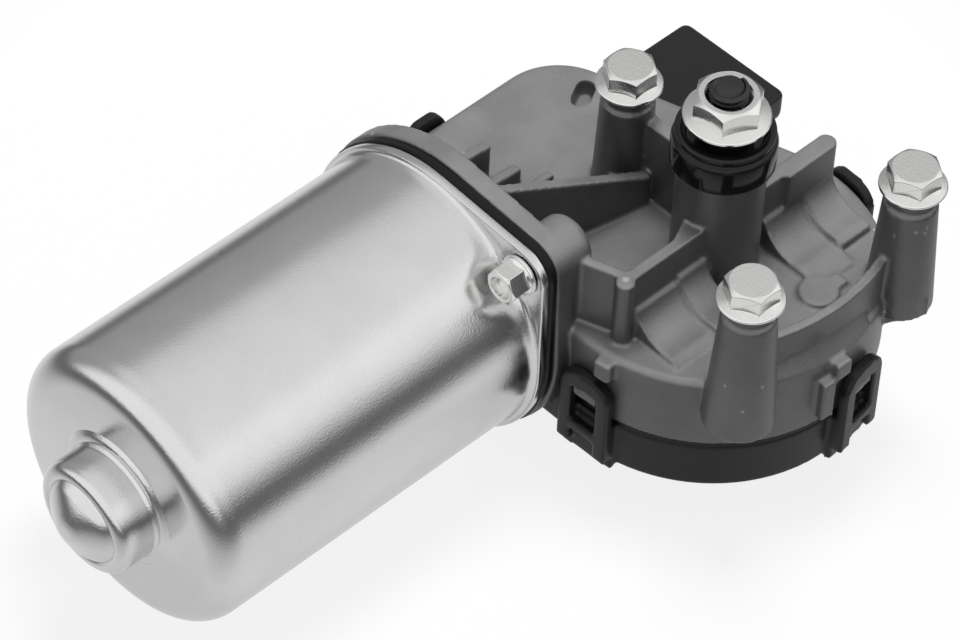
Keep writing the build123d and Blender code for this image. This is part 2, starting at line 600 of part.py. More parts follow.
# Two ferrite shells against the can's wall
MAGNET_GAP = 26.0
MAGNET_REAR_OVERHANG = 5.0
MAGNET_FRONT_OVERHANG = 4.0
with BuildPart() as field_magnets:
    with BuildSketch(motor_plane(CORE_REAR_X - MAGNET_REAR_OVERHANG)):
        Circle(CAN_BORE_RADIUS)
        Circle(ARMATURE_RADIUS + AIR_GAP, mode=Mode.SUBTRACT)
        Rectangle(3 * CAN_RADIUS, MAGNET_GAP, mode=Mode.SUBTRACT)
    extrude(amount=CORE_FRONT_X - CORE_REAR_X + MAGNET_REAR_OVERHANG + MAGNET_FRONT_OVERHANG)
save(field_magnets, "field_magnets")

# Rear bearing: a barrel bush in an oiled felt ring, a retaining washer and a thrust pad
THRUST_PAD_THICKNESS = 1.6
REAR_BUSH_RADIUS = 7.6
REAR_BUSH_FRONT_X = CAN_END_X + CAN_WALL - 0.4
REAR_BUSH_REAR_X = END_BOSS_FLOOR_X + THRUST_PAD_THICKNESS
with BuildPart() as rear_bearing:
    add(tube(REAR_BUSH_REAR_X, REAR_BUSH_FRONT_X, REAR_BUSH_RADIUS, SHAFT_R + RUNNING_FIT))
save(rear_bearing, "rear_bearing")

with BuildPart() as felt_ring:
    add(tube(REAR_BUSH_REAR_X + 1, REAR_BUSH_FRONT_X - 1, END_BOSS_RADIUS - CAN_WALL, REAR_BUSH_RADIUS))
save(felt_ring, "felt_ring")

with BuildPart() as bearing_retainer:
    add(tube(REAR_BUSH_FRONT_X, REAR_BUSH_FRONT_X + 0.4, END_BOSS_RADIUS - CAN_WALL, 5.5))
save(bearing_retainer, "bearing_retainer")

with BuildPart() as thrust_pad:
    add(tube(END_BOSS_FLOOR_X, REAR_BUSH_REAR_X, END_BOSS_RADIUS - CAN_WALL, 0))
save(thrust_pad, "thrust_pad")

# Front ball bearing
INNER_RACE_RADIUS = 6.0
OUTER_RACE_RADIUS = 9.1
with BuildPart() as bearing_outer_ring:
    add(tube(BEARING_REAR_X, BEARING_FRONT_X, BEARING_RADIUS, OUTER_RACE_RADIUS))
save(bearing_outer_ring, "bearing_outer_ring")

with BuildPart() as bearing_inner_ring:
    add(tube(BEARING_REAR_X, BEARING_FRONT_X, INNER_RACE_RADIUS, SHAFT_R))
save(bearing_inner_ring, "bearing_inner_ring")

ball_radius = (OUTER_RACE_RADIUS - INNER_RACE_RADIUS) / 2 - 0.05
with BuildPart() as ball:
    with BuildSketch(Plane.XZ):
        RegularPolygon(ball_radius, 8, rotation=22.5)
        with Locations((-ball_radius, 0)):
            Rectangle(2 * ball_radius, 3 * ball_radius, mode=Mode.SUBTRACT)
    revolve(axis=Axis.Z)
with BuildPart() as bearing_balls:
    with Locations(motor_plane((BEARING_REAR_X + BEARING_FRONT_X) / 2)):
        with PolarLocations(INNER_RACE_RADIUS + ball_radius, BALLS):
            add(ball.part)
save(bearing_balls, "bearing_balls")

# Front journal bush and the end-play screw behind it
FRONT_BUSH_END_X = TUNNEL_END_X + FRONT_BUSH_LENGTH
with BuildPart() as front_bush:
    add(tube(TUNNEL_END_X, FRONT_BUSH_END_X, FRONT_BUSH_RADIUS, FRONT_JOURNAL_R + RUNNING_FIT))
save(front_bush, "front_bush")

with BuildPart() as end_play_screw:
    add(tube(FRONT_BUSH_END_X, FRONT_BUSH_END_X + END_PLAY_SCREW_LENGTH, FRONT_BUSH_RADIUS, 0))
    with BuildSketch(motor_plane(FRONT_BUSH_END_X + END_PLAY_SCREW_LENGTH)):
        Rectangle(12, 1.4)
    extrude(amount=-1.5, mode=Mode.SUBTRACT)
save(end_play_screw, "end_play_screw")

# Armature shaft with the worm cut on it, built along local Z and laid on the motor axis
WORM_LENGTH = WORM_TURNS * LEAD
thread_half = math.pi * MODULE / 4 - TOOTH_BACKLASH / 2
flank = math.tan(math.radians(FLANK_ANGLE))
ARMATURE_FRAME = Plane(origin=(0, AXIS_Y, AXIS_Z), x_dir=(0, -1, 0), z_dir=(1, 0, 0))
SHAFT_REAR = REAR_BUSH_REAR_X + FACE_GAP
SHAFT_FRONT = FRONT_BUSH_END_X - FACE_GAP
with BuildPart() as worm_blank:
    for start, end, radius in (
        (SHAFT_REAR, -WORM_LENGTH / 2 - 3, SHAFT_R),
        (-WORM_LENGTH / 2 - 3, WORM_LENGTH / 2 + 1.5, WORM_ROOT_RADIUS),
        (WORM_LENGTH / 2 + 1.5, SHAFT_FRONT, FRONT_JOURNAL_R),
    ):
        with BuildSketch(Plane.XY.offset(start)):
            Circle(radius)
        extrude(amount=end - start)
    with BuildLine() as worm_line:
        Helix(LEAD, WORM_LENGTH, WORM_PITCH_RADIUS, center=(0, 0, -WORM_LENGTH / 2))
    with BuildSketch(Plane(origin=worm_line.line @ 0, x_dir=(1, 0, 0), z_dir=worm_line.line % 0)):
        with BuildLine():
            Polyline((ADDENDUM, -thread_half + ADDENDUM * flank), (ADDENDUM, thread_half - ADDENDUM * flank),
                     (-DEDENDUM - 0.2, thread_half + DEDENDUM * flank),
                     (-DEDENDUM - 0.2, -thread_half - DEDENDUM * flank), close=True)
        make_face()
    sweep(path=worm_line.line, is_frenet=True)
with BuildPart() as armature_shaft:
    with Locations(ARMATURE_FRAME.location):
        add(worm_blank.part)
save(armature_shaft, "armature_shaft")

# Laminated core with round slots, and the coils wound through them
SLOT_CENTRE_RADIUS = ARMATURE_RADIUS - SLOT_DEPTH
SLOT_RADIUS = 3.1
with BuildPart() as armature_core:
    with BuildSketch(motor_plane(CORE_REAR_X)):
        Circle(ARMATURE_RADIUS)
        Circle(SHAFT_R, mode=Mode.SUBTRACT)
        with PolarLocations(SLOT_CENTRE_RADIUS, SLOTS):
            RegularPolygon(SLOT_RADIUS, 8, rotation=22.5, mode=Mode.SUBTRACT)
        with PolarLocations(ARMATURE_RADIUS, SLOTS):
            Rectangle(2 * (ARMATURE_RADIUS - SLOT_CENTRE_RADIUS), 2.2, mode=Mode.SUBTRACT)
    extrude(amount=CORE_FRONT_X - CORE_REAR_X)
save(armature_core, "armature_core")

with BuildPart() as armature_windings:
    with BuildSketch(motor_plane(CORE_REAR_X)):
        with PolarLocations(SLOT_CENTRE_RADIUS, SLOTS):
            RegularPolygon(SLOT_RADIUS - 0.1, 8, rotation=22.5)
    extrude(amount=CORE_FRONT_X - CORE_REAR_X)
    for face_x, direction in ((CORE_REAR_X, -1), (CORE_FRONT_X, 1)):
        with BuildSketch(motor_plane(face_x)):
            Circle(WINDING_RADIUS - 2.5)
            with PolarLocations(SLOT_CENTRE_RADIUS - 0.6, SLOTS):
                RegularPolygon(SLOT_RADIUS + 0.4, 8, rotation=22.5)
            Circle(SHAFT_R + 3.5, mode=Mode.SUBTRACT)
        extrude(amount=direction * WINDING_OVERHANG)
save(armature_windings, "armature_windings")

with BuildPart() as commutator:
    with BuildSketch(motor_plane(COMMUTATOR_REAR_X)):
        Circle(COMMUTATOR_RADIUS)
        Circle(SHAFT_R, mode=Mode.SUBTRACT)
        with PolarLocations(COMMUTATOR_RADIUS, COMMUTATOR_BARS):
            Rectangle(2.0, 0.6, mode=Mode.SUBTRACT)
    extrude(amount=COMMUTATOR_FRONT_X - COMMUTATOR_REAR_X)
    with BuildSketch(motor_plane(COMMUTATOR_REAR_X)):
        with PolarLocations(COMMUTATOR_RADIUS + 0.8, COMMUTATOR_BARS, start_angle=15):
            Rectangle(2.6, 1.6)
    extrude(amount=1.4)
save(commutator, "commutator")

# Brush gear on the spigot: plate, two boxes with brushes and leaf springs, chokes and a cut-out
BRUSH_PLATE_THICKNESS = 2.4
BRUSH_PLATE_REAR_X = SPIGOT_END_X - BRUSH_PLATE_THICKNESS
BRUSH_WIDTH = 6.0
BRUSH_HEIGHT = 8.0
BRUSH_FIT = 0.1
BOX_WALL = 0.8
BOX_LENGTH = 10.0
BOX_STANDOFF = 2.5             # from the brush's face
BRUSH_RECESS = 2.5             # of the brush's back, inside its box
BRUSH_LENGTH = BOX_STANDOFF + BOX_LENGTH - BRUSH_RECESS
SPRING_RADIUS = 2.0
BRUSH_INNER = COMMUTATOR_RADIUS + 0.1
with BuildPart() as brush_plate:
    add(tube(BRUSH_PLATE_REAR_X, SPIGOT_END_X, SPIGOT_RADIUS - 0.2, BEARING_RADIUS + 3))
save(brush_plate, "brush_plate")

box_x = BRUSH_PLATE_REAR_X - BOX_WALL - BRUSH_HEIGHT / 2
with BuildPart() as brush_holders:
    with Locations(Location((0, AXIS_Y, AXIS_Z))):
        with Locations(Location((0, 0, 0), (45, 0, 0)), Location((0, 0, 0), (225, 0, 0))):
            with Locations((box_x, BRUSH_INNER + BOX_STANDOFF + BOX_LENGTH / 2, 0)):
                Box(BRUSH_HEIGHT + 2 * BOX_WALL, BOX_LENGTH, BRUSH_WIDTH + 2 * BOX_WALL)
                Box(BRUSH_HEIGHT, BOX_LENGTH, BRUSH_WIDTH, mode=Mode.SUBTRACT)
save(brush_holders, "brush_holders")

with BuildPart() as carbon_brushes:
    with Locations(Location((0, AXIS_Y, AXIS_Z))):
        with Locations(Location((0, 0, 0), (45, 0, 0)), Location((0, 0, 0), (225, 0, 0))):
            with Locations((box_x, BRUSH_INNER + BRUSH_LENGTH / 2, 0)):
                Box(BRUSH_HEIGHT - BRUSH_FIT, BRUSH_LENGTH, BRUSH_WIDTH - BRUSH_FIT)
    add(tube(box_x - BRUSH_HEIGHT, box_x + BRUSH_HEIGHT, BRUSH_INNER, 0), mode=Mode.SUBTRACT)
save(carbon_brushes, "carbon_brushes")

# Each spring is a rolled strip that lies on the back of its brush
with BuildPart() as brush_springs:
    with Locations(Location((0, AXIS_Y, AXIS_Z))):
        with Locations(Location((0, 0, 0), (45, 0, 0)), Location((0, 0, 0), (225, 0, 0))):
            with Locations((box_x, BRUSH_INNER + BRUSH_LENGTH + SPRING_RADIUS, 0)):
                Cylinder(SPRING_RADIUS, BRUSH_WIDTH - 1)
                Cylinder(SPRING_RADIUS - 0.8, BRUSH_WIDTH - 1, mode=Mode.SUBTRACT)
save(brush_springs, "brush_springs")

CHOKE_RADIUS = 3.0
CHOKE_CORE_RADIUS = 1.5
CHOKE_CORE_LENGTH = 15.0
CHOKE_COIL_LENGTH = 12.0
CHOKE_INSET = 8.3              # from the spigot's wall
CHOKE_SEAT = SPIGOT_RADIUS - CHOKE_INSET
with BuildPart() as choke_cores:
    with Locations(Location((BRUSH_PLATE_REAR_X - CHOKE_RADIUS, AXIS_Y, AXIS_Z))):
        with Locations(Location((0, 0, 0), (135, 0, 0)), Location((0, 0, 0), (315, 0, 0))):
            with Locations((0, CHOKE_SEAT, 0)):
                Cylinder(CHOKE_CORE_RADIUS, CHOKE_CORE_LENGTH)
save(choke_cores, "choke_cores")

with BuildPart() as choke_coils:
    with Locations(Location((BRUSH_PLATE_REAR_X - CHOKE_RADIUS, AXIS_Y, AXIS_Z))):
        with Locations(Location((0, 0, 0), (135, 0, 0)), Location((0, 0, 0), (315, 0, 0))):
            with Locations((0, CHOKE_SEAT, 0)):
                Cylinder(CHOKE_RADIUS, CHOKE_COIL_LENGTH)
                Cylinder(CHOKE_CORE_RADIUS, CHOKE_COIL_LENGTH, mode=Mode.SUBTRACT)
save(choke_coils, "choke_coils")

# Worm wheel: slanted teeth, rim, web with holes; a knurled steel hub is moulded in
HUB_RADIUS = 8.0
WHEEL_BOTTOM_Z = AXIS_Z - WHEEL_WIDTH / 2
WHEEL_TOP_Z = AXIS_Z + WHEEL_WIDTH / 2
half_twist = math.degrees(WHEEL_WIDTH / 2 * math.tan(math.radians(LEAD_ANGLE)) / WHEEL_PITCH_RADIUS)


def tooth_ring(turn):
    """Outline of the toothed wheel with its first tooth on the Y axis, turned by turn degrees."""
    half_pitch = math.pi * MODULE / 4 - TOOTH_BACKLASH / 2
    half_tip = half_pitch - ADDENDUM * flank
    half_root = half_pitch + DEDENDUM * flank
    corners = []
    for tooth in range(WHEEL_TEETH):
        centre = math.radians(90 + turn - tooth * 360 / WHEEL_TEETH)
        for radius, half in ((WHEEL_ROOT_RADIUS, half_root), (WHEEL_TIP_RADIUS, half_tip),
                             (WHEEL_TIP_RADIUS, -half_tip), (WHEEL_ROOT_RADIUS, -half_root)):
            angle = centre + half / radius
            corners.append((radius * math.cos(angle), radius * math.sin(angle)))
    return corners


with BuildPart() as worm_wheel:
    for level, turn in ((WHEEL_BOTTOM_Z, -half_twist), (WHEEL_TOP_Z, half_twist)):
        with BuildSketch(Plane.XY.offset(level)):
            with BuildLine():
                Polyline(*tooth_ring(turn), close=True)
            make_face()
    loft(ruled=True)
    with BuildSketch(Plane.XY.offset(WHEEL_BOTTOM_Z)):
        Circle(WHEEL_ROOT_RADIUS - 3)
        Circle(HUB_RADIUS + 3, mode=Mode.SUBTRACT)
    extrude(amount=2.6, mode=Mode.SUBTRACT)
    with BuildSketch(Plane.XY.offset(WHEEL_TOP_Z)):
        Circle(WHEEL_ROOT_RADIUS - 3)
        Circle(HUB_RADIUS + 3, mode=Mode.SUBTRACT)
    extrude(amount=-2.6, mode=Mode.SUBTRACT)
    with BuildSketch(Plane.XY.offset(WHEEL_BOTTOM_Z)):
        Circle(HUB_RADIUS)
    extrude(amount=WHEEL_WIDTH, mode=Mode.SUBTRACT)
save(worm_wheel, "worm_wheel")

HUB_BOTTOM_Z = WHEEL_BOTTOM_Z - 1.0
HUB_TOP_Z = WHEEL_TOP_Z + 1.2
with BuildPart() as wheel_hub:
    add(upright_ring(HUB_BOTTOM_Z, HUB_TOP_Z, HUB_RADIUS, SHAFT_RADIUS))
save(wheel_hub, "wheel_hub")

with BuildPart() as thrust_washer:
    add(upright_ring(HUB_TOP_Z, CAVITY_TOP_Z - FACE_GAP, HUB_RADIUS, SHAFT_RADIUS))
save(thrust_washer, "thrust_washer")

# Park disc: a copper ring with one gap, on the wheel's lower rim
DISC_OUTER = WHEEL_ROOT_RADIUS - 0.5
DISC_INNER = HUB_RADIUS + 3.0
with BuildPart() as park_disc:
    with BuildSketch(Plane.XY.offset(WHEEL_BOTTOM_Z - 0.6)):
        Circle(DISC_OUTER)
        Circle(DISC_INNER, mode=Mode.SUBTRACT)
        with Locations((-24, 0)):
            Rectangle(6, 8, mode=Mode.SUBTRACT)
    extrude(amount=0.6)
save(park_disc, "park_disc")

# Output shaft with a cone for the crank and a threaded end
CONE_START_Z = 66.8
with BuildPart() as output_shaft:
    with BuildSketch(Plane.XY.offset(HUB_BOTTOM_Z - 1.5)):
        Circle(SHAFT_RADIUS)
    extrude(amount=CONE_START_Z - HUB_BOTTOM_Z + 1.5)
    with BuildSketch(Plane.XY.offset(CONE_START_Z)):
        Circle(SHAFT_RADIUS)
    with BuildSketch(Plane.XY.offset(NUT_SEAT_Z)):
        Circle(THREAD_RADIUS + 0.5)
    loft()
    with BuildSketch(Plane.XY.offset(NUT_SEAT_Z)):
        Circle(THREAD_RADIUS)
    extrude(amount=SHAFT_TIP_Z - NUT_SEAT_Z - 1.2)
    with BuildSketch(Plane.XY.offset(SHAFT_TIP_Z - 1.2)):
        Circle(THREAD_RADIUS)
    with BuildSketch(Plane.XY.offset(SHAFT_TIP_Z)):
        Circle(THREAD_RADIUS - 1.2)
    loft()
save(output_shaft, "output_shaft")

# Flanged shaft nut
NUT_HEX = 13.0
NUT_FLANGE_RADIUS = 8.95
NUT_HEIGHT = 6.2
NUT_COUNTERSINK = 0.7
with BuildPart() as shaft_nut:
    with BuildSketch(Plane.XY.offset(NUT_SEAT_Z)):
        Circle(NUT_FLANGE_RADIUS)
    with BuildSketch(Plane.XY.offset(NUT_SEAT_Z + 1.6)):
        Circle(NUT_FLANGE_RADIUS - 1.0)
    loft()
    with BuildSketch(Plane.XY.offset(NUT_SEAT_Z)):
        RegularPolygon(NUT_HEX / 2, 6, major_radius=False, rotation=35.5)
    extrude(amount=NUT_HEIGHT)
    with BuildSketch(Plane.XY.offset(NUT_SEAT_Z)):
        Circle(THREAD_RADIUS)
    extrude(amount=NUT_HEIGHT, mode=Mode.SUBTRACT)
    with BuildSketch(Plane.XY.offset(NUT_SEAT_Z + NUT_HEIGHT - NUT_COUNTERSINK)):
        Circle(THREAD_RADIUS)
    with BuildSketch(Plane.XY.offset(NUT_SEAT_Z + NUT_HEIGHT)):
        Circle(THREAD_RADIUS + NUT_COUNTERSINK)
    loft(mode=Mode.SUBTRACT)
save(shaft_nut, "shaft_nut")

# Bushes, seal and retaining ring in the tower, and the rubber cap over it
LOWER_BUSH_Z = CAVITY_TOP_Z
UPPER_BUSH_Z = TOWER_TOP_Z - BUSH_LENGTH
for bush_z, bush_name in ((LOWER_BUSH_Z, "lower_bush"), (UPPER_BUSH_Z, "upper_bush")):
    with BuildPart() as bush:
        add(upright_ring(bush_z, bush_z + BUSH_LENGTH, BUSH_RADIUS, SHAFT_RADIUS + RUNNING_FIT))
    save(bush, bush_name)

SEAL_LENGTH = 2.5
with BuildPart() as shaft_seal:
    add(upright_ring(UPPER_BUSH_Z - SEAL_LENGTH, UPPER_BUSH_Z, BUSH_RADIUS, SHAFT_RADIUS + RUNNING_FIT))
save(shaft_seal, "shaft_seal")

RING_RADIUS = 7.2
RING_THICKNESS = 1.0
RING_OPENING = 4.0
RING_BOTTOM_Z = TOWER_TOP_Z + FACE_GAP
with BuildPart() as retaining_ring:
    add(upright_ring(RING_BOTTOM_Z, RING_BOTTOM_Z + RING_THICKNESS, RING_RADIUS, SHAFT_RADIUS))
    with BuildSketch(Plane.XY.offset(RING_BOTTOM_Z)):
        with Locations((RING_RADIUS, 0)):
            Rectangle(2 * (RING_RADIUS - 4), RING_OPENING)
    extrude(amount=RING_THICKNESS, mode=Mode.SUBTRACT)
save(retaining_ring, "retaining_ring")

CAP_RADIUS = 10.8
CAP_BOTTOM_Z = 59.6
CAP_SHOULDER_Z = 65.6
CAP_TOP_Z = 68.6
with BuildPart() as shaft_cap:
    with BuildSketch(Plane.XZ) as cap_half:
        with BuildLine():
            Polyline((TOWER_RADIUS, CAP_BOTTOM_Z), (CAP_RADIUS, CAP_BOTTOM_Z), (CAP_RADIUS, CAP_SHOULDER_Z),
                     (CAP_RADIUS - 0.7, CAP_SHOULDER_Z + 0.5), (CAP_RADIUS - 0.7, CAP_SHOULDER_Z + 1.2),
                     (CAP_RADIUS - 0.1, CAP_SHOULDER_Z + 1.8), (CAP_RADIUS - 0.6, CAP_TOP_Z),
                     (CAP_RADIUS - 2.0, CAP_TOP_Z), (CAP_RADIUS - 3.2, CAP_SHOULDER_Z),
                     (TOWER_RADIUS - 1.4, TOWER_TOP_Z), (TOWER_RADIUS, TOWER_TOP_Z), close=True)
        make_face()
    revolve(axis=Axis.Z)
save(shaft_cap, "shaft_cap")

# Flanged mounting bolts
with BuildPart() as mounting_bolts:
    bolt_z = SEAT_Z + SPIGOT_HEIGHT
    for (bx, by), angle in zip(BOLT_CENTRES, BOLT_HEX_ANGLES):
        with BuildSketch(Plane.XY.offset(bolt_z)):
            with Locations((bx, by)):
                Circle(BOLT_FLANGE_RADIUS)
        extrude(amount=1.0)
        with BuildSketch(Plane.XY.offset(bolt_z + 1.0)):
            with Locations((bx, by)):
                RegularPolygon(BOLT_HEX / 2, 6, major_radius=False, rotation=angle)
        extrude(amount=4.4)
        with BuildSketch(Plane.XY.offset(bolt_z)):
            with Locations((bx, by)):
                Circle(BOLT_RADIUS)
        extrude(amount=-BOLT_LENGTH)
save(mounting_bolts, "mounting_bolts")

# Cover: moulded tray with hooked clips, and the seal on its rim
with BuildPart() as gear_cover:
    with BuildSketch():
        add(body_outline(0.4))
    extrude(amount=COVER_TOP_Z)
    chamfer(gear_cover.faces().sort_by(Axis.Z)[0].edges(), 1.8)
    with BuildSketch(Plane.XY.offset(COVER_FLOOR)):
        add(body_outline(0.4 + COVER_WALL))
    extrude(amount=COVER_TOP_Z - COVER_FLOOR, mode=Mode.SUBTRACT)
    # Pad that carries the connector
    with BuildSketch(Plane.XY):
        with BuildLine():
            Polyline((20, CONNECTOR_FRONT_Y + 4), (PAD_X, CONNECTOR_FRONT_Y + 4), (PAD_X, CONNECTOR_BACK_Y - 4),
                     (16, CONNECTOR_BACK_Y - 4), close=True)
        make_face()
        add(body_outline(0.5), mode=Mode.SUBTRACT)
    extrude(amount=COVER_TOP_Z)
    # Clips with a window for the housing's lug
    for plane, top_z in zip(CLIP_PLANES, CLIP_TOP_Z):
        with BuildSketch(plane.offset(-1.2)):
            with Locations((0, COVER_TOP_Z / 2)):
                Rectangle(CLIP_WIDTH, COVER_TOP_Z)
        extrude(amount=1.2 + CLIP_GAP)
        with BuildSketch(plane.offset(CLIP_GAP)):
            with Locations((0, (top_z + CLIP_BOTTOM_Z) / 2)):
                clip_band = Rectangle(CLIP_WIDTH, top_z - CLIP_BOTTOM_Z)
            fillet(clip_band.vertices().sort_by(Axis.Y)[-2:], CLIP_CORNER)
            with Locations((0, CLIP_LUG_Z + 0.1 - CLIP_WINDOW_HEIGHT / 2)):
                Rectangle(CLIP_WINDOW, CLIP_WINDOW_HEIGHT, mode=Mode.SUBTRACT)
            with Locations((0, CLIP_NOTCH_TOP_Z / 2)):
                Rectangle(CLIP_WINDOW, CLIP_NOTCH_TOP_Z, mode=Mode.SUBTRACT)
        extrude(amount=CLIP_THICKNESS)
    # Room for the motor flange
    with BuildSketch(Plane.XY):
        with Locations((FLANGE_BACK_X - 4.6, 40)):
            Rectangle(10, 69)
    extrude(amount=HOUSING_BOTTOM_Z, mode=Mode.SUBTRACT)
save(gear_cover, "gear_cover")

with BuildPart() as cover_seal:
    with BuildSketch(Plane.XY.offset(COVER_TOP_Z)):
        add(body_outline(0.6))
        add(body_outline(2.2), mode=Mode.SUBTRACT)
        with Locations((FLANGE_BACK_X - 4.6, 40)):
            Rectangle(10, 69, mode=Mode.SUBTRACT)
    extrude(amount=HOUSING_BOTTOM_Z - COVER_TOP_Z)
save(cover_seal, "cover_seal")

# Flat connector beside the bay, standing on the cover's pad, with its blades
SOCKET_FLOOR_X = CONNECTOR_TIP_X - SOCKET_DEPTH
connector_mid_y = (CONNECTOR_FRONT_Y + CONNECTOR_BACK_Y) / 2
connector_mid_z = CONNECTOR_TOP_Z - CONNECTOR_HEIGHT / 2
connector_width = CONNECTOR_BACK_Y - CONNECTOR_FRONT_Y
with BuildPart() as connector_housing:
    with BuildSketch(Plane.YZ.offset(CONNECTOR_ROOT_X)):
        with Locations((connector_mid_y, connector_mid_z)):
            shell = Rectangle(connector_width, CONNECTOR_HEIGHT)
        fillet(shell.vertices().sort_by(Axis.Y)[:2], CONNECTOR_HEIGHT / 2 - 0.5)
        fillet(shell.vertices().sort_by(Axis.Y)[-2:], CONNECTOR_CORNER)
    extrude(amount=CONNECTOR_TIP_X - CONNECTOR_ROOT_X)
    with BuildSketch(Plane.XY.offset(COVER_TOP_Z)):
        with Locations((PAD_X - 9, connector_mid_y)):
            Rectangle(18, connector_width - 8)
    extrude(amount=connector_mid_z - COVER_TOP_Z)
    with BuildSketch(Plane.XY.offset(COVER_TOP_Z)):
        add(body_outline(-CLIP_GAP))
    extrude(amount=ROOF_Z - COVER_TOP_Z, mode=Mode.SUBTRACT)
    with BuildSketch(Plane.YZ.offset(CONNECTOR_TIP_X)):
        with Locations((connector_mid_y, connector_mid_z)):
            RectangleRounded(connector_width - 2 * CONNECTOR_WALL, CONNECTOR_HEIGHT - 2 * CONNECTOR_WALL, 2.0)
    extrude(amount=-SOCKET_DEPTH, mode=Mode.SUBTRACT)
save(connector_housing, "connector_housing")

with BuildPart() as connector_pins:
    with BuildSketch(Plane.YZ.offset(SOCKET_FLOOR_X)):
        with Locations((connector_mid_y, connector_mid_z)):
            with GridLocations(PIN_PITCH, 1, PIN_COUNT, 1):
                Rectangle(1.5, 0.8)
    extrude(amount=PIN_LENGTH)
save(connector_pins, "connector_pins")

# Three sprung tongues on the cover's floor, with their tips just under the park disc
CONTACT_THICKNESS = 0.5
CONTACT_PITCH = 12.0
CONTACT_TIP_Z = WHEEL_BOTTOM_Z - 0.6 - FACE_GAP
with BuildPart() as park_contacts:
    for contact_y in (-CONTACT_PITCH, 0.0, CONTACT_PITCH):
        with BuildSketch(Plane.XZ.offset(-contact_y)):
            with BuildLine():
                tongue = Polyline((26, COVER_FLOOR + 0.25), (8, COVER_FLOOR + 0.25), (20, CONTACT_TIP_Z - 0.6))
                offset(tongue, amount=CONTACT_THICKNESS / 2)
            make_face()
        extrude(amount=1.5, both=True)
save(park_contacts, "park_contacts")

# Thermal cut-out on the brush plate
with BuildPart() as circuit_breaker:
    with BuildSketch(motor_plane(BRUSH_PLATE_REAR_X)):
        with Locations((0, -CHOKE_SEAT - 1)):
            Rectangle(11, 5)
    extrude(amount=-9)
save(circuit_breaker, "circuit_breaker")
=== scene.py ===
import json
import math

import bpy
from mathutils import Matrix, Vector

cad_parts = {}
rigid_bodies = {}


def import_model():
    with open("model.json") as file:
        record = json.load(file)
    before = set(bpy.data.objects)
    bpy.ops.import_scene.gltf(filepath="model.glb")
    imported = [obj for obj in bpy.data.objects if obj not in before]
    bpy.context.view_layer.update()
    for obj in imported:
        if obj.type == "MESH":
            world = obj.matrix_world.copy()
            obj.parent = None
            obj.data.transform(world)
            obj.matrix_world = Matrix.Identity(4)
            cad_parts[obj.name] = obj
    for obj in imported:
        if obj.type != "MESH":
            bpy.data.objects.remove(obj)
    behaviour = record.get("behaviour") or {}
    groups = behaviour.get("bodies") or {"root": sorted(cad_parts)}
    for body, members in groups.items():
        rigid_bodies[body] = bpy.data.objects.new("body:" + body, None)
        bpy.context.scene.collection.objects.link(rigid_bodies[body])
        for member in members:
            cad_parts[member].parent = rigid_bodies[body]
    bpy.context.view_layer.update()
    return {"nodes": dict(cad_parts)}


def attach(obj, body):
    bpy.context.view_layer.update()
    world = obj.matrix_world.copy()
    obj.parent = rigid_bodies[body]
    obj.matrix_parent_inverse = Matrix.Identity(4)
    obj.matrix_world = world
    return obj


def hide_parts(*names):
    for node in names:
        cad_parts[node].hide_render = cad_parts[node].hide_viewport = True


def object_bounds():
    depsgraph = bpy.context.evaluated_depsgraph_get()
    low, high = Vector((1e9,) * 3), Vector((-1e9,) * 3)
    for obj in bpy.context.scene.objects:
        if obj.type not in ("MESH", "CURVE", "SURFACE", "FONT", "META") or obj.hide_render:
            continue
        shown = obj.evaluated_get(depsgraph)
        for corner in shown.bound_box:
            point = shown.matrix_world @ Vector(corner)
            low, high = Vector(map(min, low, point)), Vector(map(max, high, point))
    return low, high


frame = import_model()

nodes = frame["nodes"]

# The photographer's camera: a long lens, looking down on the motor from over the can's closed end.
# Angles in degrees, places in metres. The roll is the tilt of the picture.
CAMERA_AZIMUTH = -46.318
CAMERA_ELEVATION = 46.965
CAMERA_ROLL = 2.937
CAMERA_LENS = 182.46
CAMERA_DISTANCE = 1.07128
CAMERA_AIM = Vector((0.00037, 0.06477, -0.03942))
azimuth = math.radians(CAMERA_AZIMUTH)
elevation = math.radians(CAMERA_ELEVATION)
level = math.cos(elevation)
back = Vector((math.sin(azimuth) * level, -math.cos(azimuth) * level, math.sin(elevation)))
bpy.ops.object.camera_add(location=CAMERA_AIM + back * CAMERA_DISTANCE)
camera = bpy.context.object
camera.rotation_mode = "QUATERNION"
upright = (-back).to_track_quat("-Z", "Y")
camera.rotation_quaternion = upright @ Matrix.Rotation(math.radians(CAMERA_ROLL), 4, "Z").to_quaternion()
camera.data.lens = CAMERA_LENS
camera.data.sensor_width = 36
camera.data.clip_start = 0.1
camera.data.clip_end = 10
bpy.context.scene.camera = camera
bpy.context.scene.view_settings.view_transform = "Standard"

# Gear housing: one aluminium die casting with the bowl, the motor flange, the shaft tower and the
# bosses. The mould leaves a small radius on every edge and a fine grain. Its edges are paler, partly
# rubbed and partly a painted highlight, and its steep walls are darkened by painted shade.
MM = 0.001


def nothing_selected():
    if bpy.context.object and bpy.context.object.mode != "OBJECT":
        bpy.ops.object.mode_set(mode="OBJECT")
    bpy.ops.object.select_all(action="DESELECT")


def make_active(piece):
    nothing_selected()
    piece.select_set(True)
    bpy.context.view_layer.objects.active = piece


def apply_modifiers(piece):
    make_active(piece)
    for modifier in list(piece.modifiers):
        bpy.ops.object.modifier_apply(modifier=modifier.name)


def join_to(piece, *others):
    """Join other objects to a piece, which keeps its name."""
    make_active(piece)
    for other in others:
        other.select_set(True)
    bpy.ops.object.join()


def close_mesh():
    """Merge the doubled points of the active piece and turn its faces outwards."""
    bpy.ops.object.mode_set(mode="EDIT")
    bpy.ops.mesh.select_all(action="SELECT")
    bpy.ops.mesh.remove_doubles(threshold=0.002 * MM)
    bpy.ops.mesh.normals_make_consistent(inside=False)
    bpy.ops.object.mode_set(mode="OBJECT")


